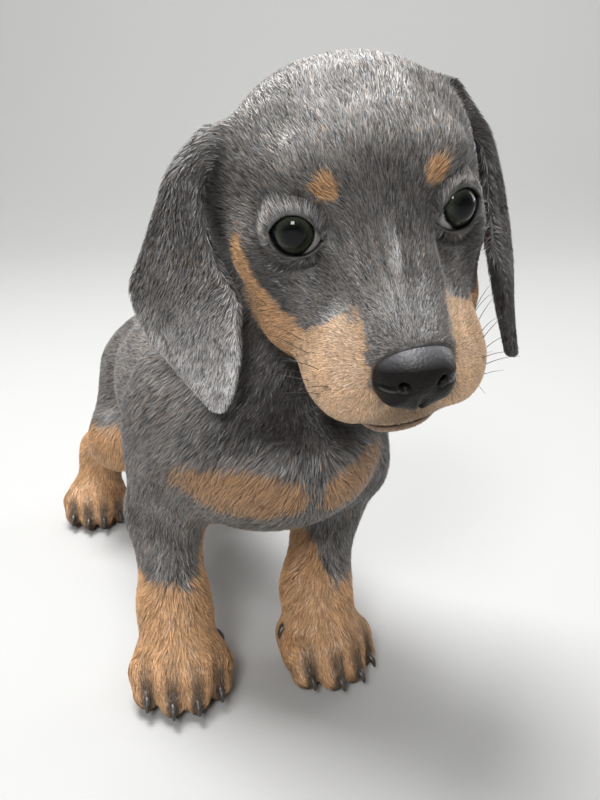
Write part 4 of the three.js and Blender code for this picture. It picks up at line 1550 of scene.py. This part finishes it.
def bump(tree, shader, height, depth_mm):
    node = tree.nodes.new("ShaderNodeBump")
    node.inputs["Strength"].default_value = 1.0
    node.inputs["Distance"].default_value = depth_mm * MM
    tree.links.new(height, node.inputs["Height"])
    tree.links.new(node.outputs[0], shader.inputs["Normal"])


def hair_material():
    material, tree, shader = new_material("short_glossy_hair", Roughness=0.4, Specular_IOR_Level=0.55)
    colour = coat_colour(tree, mark(tree, "along"), mark(tree, "tone"))
    tree.links.new(colour, shader.inputs["Base Color"])
    return material


LIP_BLACK = (0.018, 0.014, 0.014, 1)
LIP_AMBER = (0.05, 0.02, 0.012, 1)
SKIN_ALONG = 0.3


def skin_material():
    material, tree, shader = new_material("skin_under_coat", Roughness=0.5, Specular_IOR_Level=0.4)
    patches = ramp(tree, grain(tree, 2.0), 0.3, 0.7, -0.6, 0.6)
    coat = coat_colour(tree, SKIN_ALONG, patches)
    naked = mix_colour(tree, mark(tree, "tan"), LIP_BLACK, LIP_AMBER)
    colour = mix_colour(tree, mark(tree, "bare"), coat, naked)
    tree.links.new(colour, shader.inputs["Base Color"])
    bump(tree, shader, grain(tree, 0.5, 3.0), 0.12)
    return material


hair = hair_material()
for piece in coat:
    piece.data.materials.append(hair)
skin.data.materials.append(skin_material())
print("materials:", [material.name for material in bpy.data.materials])

# %% [markdown]
# ## Eyes
#
# A puppy's eye is almost all dark iris, with white only at the inner corner. The ball is
# wet, so it mirrors the lamps in a small bright spot, and its clear front bulges over the
# iris. The iris could be a disc under glass. Here the ball holds the angle from its line
# of sight as a number at each point, rings of colour follow that number, and a coat on
# the material makes it wet.

# %% Eyeballs
def uv_ball(rings, sides):
    """Points of a unit ball with its pole at +z, and its faces."""
    points = [(0, 0, 1)]
    for r in range(1, rings):
        a = math.pi * r / rings
        for n in range(sides):
            b = 2 * math.pi * n / sides
            points.append((math.sin(a) * math.cos(b), math.sin(a) * math.sin(b), math.cos(a)))
    points.append((0, 0, -1))
    last = len(points) - 1
    faces = []
    for n in range(sides):
        m = (n + 1) % sides
        faces.append((0, 1 + n, 1 + m))
        for r in range(rings - 2):
            a, b = 1 + r * sides + n, 1 + r * sides + m
            faces += [(a, a + sides, b + sides), (a, b + sides, b)]
        a = 1 + (rings - 2) * sides
        faces.append((a + n, last, a + m))
    return np.array(points), np.array(faces)


IRIS_OUT, IRIS_RISE = 17.0, 24.0
CORNEA = dict(height=0.75, flat_to=0.2, reach=0.66, slope=0.15)
DARK_RIM = 0.62
RIM_DRAWN_OUT = 0.8


def make_eye(s, name):
    """An eyeball whose clear front bulges a little over the iris. Its pole looks ahead."""
    points, faces = uv_ball(48, 64)
    angle = np.arccos(np.clip(points[:, 2], -1, 1))
    foot = CORNEA["reach"] + CORNEA["slope"]
    bulge = CORNEA["height"] * (1 - smooth(CORNEA["flat_to"], foot, angle))
    points = points * (EYE["radius"] + bulge)[:, None]
    a, b = math.radians(IRIS_OUT), math.radians(IRIS_RISE)
    gaze = np.array([s * math.sin(a) * math.cos(b), -math.cos(a) * math.cos(b), math.sin(b)])
    side = np.cross([0, 0, 1.0], gaze)
    side /= np.linalg.norm(side)
    axes = np.stack([side, np.cross(gaze, side), gaze], axis=1)
    placed = HEAD.out(axes @ points.T + column(eye_centre(s))).T
    eyeball = new_object(name, placed, faces)
    off_axis = np.maximum(np.hypot(points[:, 0], points[:, 1]), 1e-6)
    inner = smooth(0.2, 0.9, -s * points[:, 0] / off_axis)
    past_iris = np.maximum(angle - DARK_RIM, 0)
    set_marks(eyeball.data, dict(angle=angle - RIM_DRAWN_OUT * past_iris * (1 - inner)))
    return eyeball


EYE_RINGS = [
    (0.0, (0.001, 0.001, 0.0015, 1)),
    (0.27, (0.001, 0.001, 0.0015, 1)),
    (0.40, (0.011, 0.014, 0.010, 1)),
    (0.54, (0.032, 0.037, 0.024, 1)),
    (0.61, (0.008, 0.010, 0.008, 1)),
    (0.69, (0.002, 0.002, 0.003, 1)),
    (0.75, (0.38, 0.37, 0.37, 1)),
    (1.0, (0.46, 0.42, 0.41, 1)),
]


def eye_material():
    """Rings of colour by the angle from the line of sight: pupil, iris, dark rim, white."""
    material, tree, shader = new_material(
        "wet_eye", Roughness=0.3, Specular_IOR_Level=0.0,
        Coat_Weight=0.9, Coat_IOR=1.33, Coat_Roughness=0.01,
    )
    fibres = ramp(tree, grain(tree, 0.5, 3.0), 0.3, 0.7, -0.03, 0.03)
    angle = calculate(tree, "ADD", mark(tree, "angle"), fibres)
    rings = tree.nodes.new("ShaderNodeValToRGB")
    rings.color_ramp.elements[0].color = EYE_RINGS[0][1]
    rings.color_ramp.elements[1].position, rings.color_ramp.elements[1].color = EYE_RINGS[-1]
    for place, colour in EYE_RINGS[1:-1]:
        rings.color_ramp.elements.new(place).color = colour
    tree.links.new(angle, rings.inputs[0])
    tree.links.new(rings.outputs[0], shader.inputs["Base Color"])
    return material


EYE_MATERIAL = eye_material()
for s, name in ((1, "eye_left"), (-1, "eye_right")):
    eyeball = make_eye(s, name + "_ball")
    eyeball.data.materials.append(EYE_MATERIAL)
    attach(eyeball, "root")
    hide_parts(name)
    print(eyeball.name, "has", len(eyeball.data.polygons), "faces")

# %% [markdown]
# ## The leather of the nose
#
# Nose leather is bare and cobbled, black inside the nostrils and with a soft shine where
# it faces up. A plain black would hide its shape, and a glossy one would mirror the pale
# floor in the front of it. So the shine follows how far a face looks up, and so does a
# paler colour, which is a painted sheen; a mark keeps both away from the nostrils.

# %% The nose's mesh
NOSE_LOW = np.array([-13.0, -48.0, -29.0])
NOSE_HIGH = np.array([13.0, -27.0, -4.0])
NOSE_STEP = 0.45


def make_nose():
    grid = grid_shape(NOSE_LOW, NOSE_HIGH, NOSE_STEP)
    values = band_values(nose_field, NOSE_LOW, NOSE_STEP, grid, coarse=2, reach=4)
    points, faces = surface_nets(values, NOSE_LOW, NOSE_STEP)
    points = settle(nose_field, points, 0.5 * NOSE_STEP)
    leather = new_object("nose_leather", HEAD.out(points.T).T, faces)
    in_nostril = smooth(0.15, 0.6, -nose_masses(points.T))
    set_marks(leather.data, dict(bare=in_nostril))
    return leather


nose = make_nose()
print("nose:", len(nose.data.polygons), "faces")
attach(nose, "root")
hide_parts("nose")


# %% The nose's material
NOSE_BLACK = (0.007, 0.006, 0.0055, 1)
# The paler colour of faces that look up, a painted sheen.
NOSE_PAINTED_SHEEN = (0.13, 0.13, 0.14, 1)
COBBLE_SIZE = 0.75


def nose_material():
    material, tree, shader = new_material("nose_leather")
    normal = tree.nodes.new("ShaderNodeSeparateXYZ")
    geometry = tree.nodes.new("ShaderNodeNewGeometry")
    tree.links.new(geometry.outputs["Normal"], normal.inputs[0])
    outside = ramp(tree, mark(tree, "bare"), 0.0, 1.0, 1.0, 0.0)
    upward = calculate(tree, "MULTIPLY", ramp(tree, normal.outputs["Z"], 0.15, 0.9), outside)
    shine = ramp(tree, upward, 0.0, 1.0, 0.15, 1.0)
    tree.links.new(shine, shader.inputs["Specular IOR Level"])
    cobble = tree.nodes.new("ShaderNodeTexVoronoi")
    place = tree.nodes.new("ShaderNodeTexCoord").outputs["Object"]
    tree.links.new(place, cobble.inputs["Vector"])
    cobble.inputs["Scale"].default_value = 1000 / COBBLE_SIZE
    # A painted sheen: the colour is paler where a face looks up.
    tree.links.new(mix_colour(tree, upward, NOSE_BLACK, NOSE_PAINTED_SHEEN), shader.inputs["Base Color"])
    roughness = ramp(tree, grain(tree, 2.0), 0.3, 0.7, 0.4, 0.55)
    tree.links.new(roughness, shader.inputs["Roughness"])
    bump(tree, shader, cobble.outputs["Distance"], -0.12)
    return material


nose.data.materials.append(nose_material())

# %% [markdown]
# ## Claws
#
# A dog can't draw its claws in, so four blunt claws show on every foot, and a forefoot
# has a fifth, the dewclaw, higher up on its inner side. Each one is a bent cone of horn:
# rings along a short curve, joined by faces. A curve object with a taper would do as
# well, but it would have to be turned into a mesh in the end.

# %% Tubes along a curve
def tube(path, radii, sides):
    """Points and faces of a closed tube along rows of points, one radius for each."""
    path = np.asarray(path, dtype=float)
    ahead = np.gradient(path, axis=0)
    ahead /= np.linalg.norm(ahead, axis=1)[:, None]
    across = np.cross(ahead, [0.3, 0.1, 1.0])
    across /= np.linalg.norm(across, axis=1)[:, None]
    upward = np.cross(across, ahead)
    angles = 2 * math.pi * np.arange(sides) / sides
    cosines, sines = np.cos(angles)[None, :, None], np.sin(angles)[None, :, None]
    spokes = across[:, None] * cosines + upward[:, None] * sines
    rings = path[:, None] + spokes * np.asarray(radii)[:, None, None]
    points = np.vstack([rings.reshape(-1, 3), path[:1], path[-1:] + ahead[-1:] * radii[-1] * 0.6])
    faces = []
    count = len(path)
    for r in range(count - 1):
        for n in range(sides):
            a, b = r * sides + n, r * sides + (n + 1) % sides
            faces += [(a, b, b + sides), (a, b + sides, a + sides)]
    for n in range(sides):
        m = (n + 1) % sides
        faces.append((count * sides, m, n))
        faces.append((count * sides + 1, (count - 1) * sides + n, (count - 1) * sides + m))
    return points, np.array(faces)


def joined(pieces):
    """One set of points and faces from several."""
    points, faces, start = [], [], 0
    for some_points, some_faces in pieces:
        points.append(some_points)
        faces.append(some_faces + start)
        start += len(some_points)
    return np.vstack(points), np.vstack(faces)


# %% Claws on every paw
CLAW_RADII = (1.1, 1.25, 0.95, 0.3)
DEWCLAW_RADII = (1.5, 1.35, 0.95, 0.3)


def claw_path(n, w):
    tip = -12.6 if abs(n) > 1 else -17.6
    x = n * 8.4 * w
    return [
        (x, tip + 4, 6.8), (x, tip + 0.8, 6.6), (x * 1.02, tip - 1.2, 5.6), (x * 1.03, tip - 2.2, 3.8),
    ]


def dewclaw_path(inner):
    return [
        (inner * 9, 5, 17.4), (inner * 12.4, 4.2, 16.4), (inner * 14, 3.4, 14.9), (inner * 14.3, 3, 13.3),
    ]


def claw_tube(path, radii):
    curve = smooth_curve(path, 12)
    along = np.linspace(0, 1, len(curve))
    return tube(curve, np.interp(along, np.linspace(0, 1, len(radii)), radii), 10)


HORN_DARK, HORN_PALE = (0.022, 0.018, 0.016, 1), (0.075, 0.060, 0.050, 1)


def horn_material():
    material, tree, shader = new_material("dark_horn", Roughness=0.32)
    colour = mix_colour(tree, grain(tree, 1.2), HORN_DARK, HORN_PALE)
    tree.links.new(colour, shader.inputs["Base Color"])
    bump(tree, shader, grain(tree, 0.5), 0.05)
    return material


HORN = horn_material()
for name in LEGS:
    tubes = [claw_tube(claw_path(n, paw_share(name)), CLAW_RADII) for n in TOES]
    if name.startswith("fore"):
        inner = 1 if name.endswith("right") else -1
        tubes.append(claw_tube(dewclaw_path(inner), DEWCLAW_RADII))
    points, faces = joined(tubes)
    claws = new_object("claws_" + name, paw_place(name).out(points.T).T, faces, HORN)
    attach(claws, "root")
    print(claws.name, "has", len(tubes), "claws")

# %% [markdown]
# ## Whiskers
#
# A puppy's whiskers are stiff dark hairs that stand out in rows from the side of the
# muzzle, longer towards the back. Each is a fine tapered tube. Its root is found by
# moving a rough guess onto the skin, and it leaves the skin outwards and backwards.

# %% Whiskers
WHISKER_LONG = (8.0, 12.0)
LONGER_EACH = 1.6
WHISKER_THICK = (0.11, 0.03)


def whisker(s, row, n):
    y = row[0] + WHISKER_GAP * n + RNG.uniform(-0.6, 0.6)
    z = row[1] + RNG.uniform(-0.5, 0.5)
    guess = HEAD.out(column((s * 17.0, y, z)))
    root = settle(skin_field, guess.T, 12.0, rounds=6).T
    out = unit(gradient(skin_field, root))
    back = HEAD.turn @ column((0, 0.75 + 0.15 * n, RNG.uniform(-0.5, 0.25)))
    way = unit(out + back)
    long = RNG.uniform(*WHISKER_LONG) + LONGER_EACH * n
    t = np.linspace(0, 1, 8)
    droop = column((0, 0, -1)) * t ** 2 * RNG.uniform(0.1, 0.3) * long
    path = root - out * 0.5 + way * t * long + droop
    return tube(path.T, np.linspace(*WHISKER_THICK, 8), 5)


whisker_points, whisker_faces = joined(
    [whisker(s, row, n) for s in SIDES for row in WHISKER_ROWS for n in range(WHISKERS_EACH)]
)
WHISKER_BLACK = (0.03, 0.026, 0.024, 1)
whisker_hair, _, _ = new_material("whisker_hair", Base_Color=WHISKER_BLACK, Roughness=0.35)
whiskers = new_object("whiskers", whisker_points, whisker_faces, whisker_hair)
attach(whiskers, "root")
print("whiskers:", len(SIDES) * len(WHISKER_ROWS) * WHISKERS_EACH)

# %% [markdown]
# ## The floor, and what the skin stands for
#
# A portrait wants a quiet ground. A flat floor would end in a hard line, so this one is a
# bowl that curves up into a wall all round, turned from one profile. It is only a stage
# and no part of the puppy. The skin is one piece, but it stands for every node of flesh.

# %% Floor and skin
BOWL = [
    (0, 0), (900, 0), (1300, 30), (1650, 150), (1900, 380), (2050, 700), (2100, 1100), (2100, 2300),
]
BOWL_SIDES = 96
FLOOR_GREY = (0.44, 0.44, 0.435, 1)


def studio_bowl():
    """A floor that curves up into a wall all round, so that no horizon shows."""
    profile = smooth_curve(BOWL, 56)
    points, faces = [], []
    for radius, height in profile:
        for n in range(BOWL_SIDES):
            a = 2 * math.pi * n / BOWL_SIDES
            points.append((radius * math.cos(a), radius * math.sin(a), height))
    for r in range(len(profile) - 1):
        here, there = r * BOWL_SIDES, (r + 1) * BOWL_SIDES
        for n in range(BOWL_SIDES):
            m = (n + 1) % BOWL_SIDES
            faces.append((here + n, there + n, there + m, here + m))
    return new_object("studio_floor", np.array(points), np.array(faces))


floor = studio_bowl()
floor_material, _, _ = new_material("pale_floor", Base_Color=FLOOR_GREY, Roughness=0.9)
floor.data.materials.append(floor_material)
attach(skin, "root")
FLESH_NODES = [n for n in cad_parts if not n.startswith(("eye_", "nose"))]
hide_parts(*FLESH_NODES)
print("the skin stands for", len(FLESH_NODES), "nodes")

# %% [markdown]
# ## Light
#
# Fur needs large soft lamps, because small ones make each hair glitter. One hangs over
# the back, one stands in front on the puppy's right, and a weak one opens the shade on
# its left. A fourth is aimed at the wall behind.

# %% Lamps and the room
WORLD_COLOUR = (0.9, 0.89, 0.87, 1)
WORLD_STRENGTH = 0.24


def area_light(name, at, aim, size, power):
    """A square lamp of the given size in metres and power in watts."""
    data = bpy.data.lights.new(name, "AREA")
    data.size = size
    data.energy = power
    light = bpy.data.objects.new(name, data)
    light.location = at
    light.rotation_euler = (Vector(aim) - Vector(at)).to_track_quat("-Z", "Y").to_euler()
    bpy.context.collection.objects.link(light)


area_light("top_softbox", (-0.15, 0.12, 1.1), (0, -0.05, 0.12), 0.5, 19)
area_light("front_softbox", (-0.62, -0.9, 0.95), (0, -0.08, 0.12), 0.36, 11.5)
area_light("side_softbox", (1.1, 0.1, 0.5), (0, 0, 0.12), 0.6, 3)
area_light("backdrop_light", (0.5, 0.9, 1.7), (1.0, 2.1, 0.55), 1.2, 24)
world = bpy.data.worlds.new("studio")
world.use_nodes = True
background = world.node_tree.nodes["Background"]
background.inputs["Color"].default_value = WORLD_COLOUR
background.inputs["Strength"].default_value = WORLD_STRENGTH
bpy.context.scene.world = world
bpy.context.scene.view_settings.view_transform = "Standard"
print("lamps:", [light.name for light in bpy.data.lights])
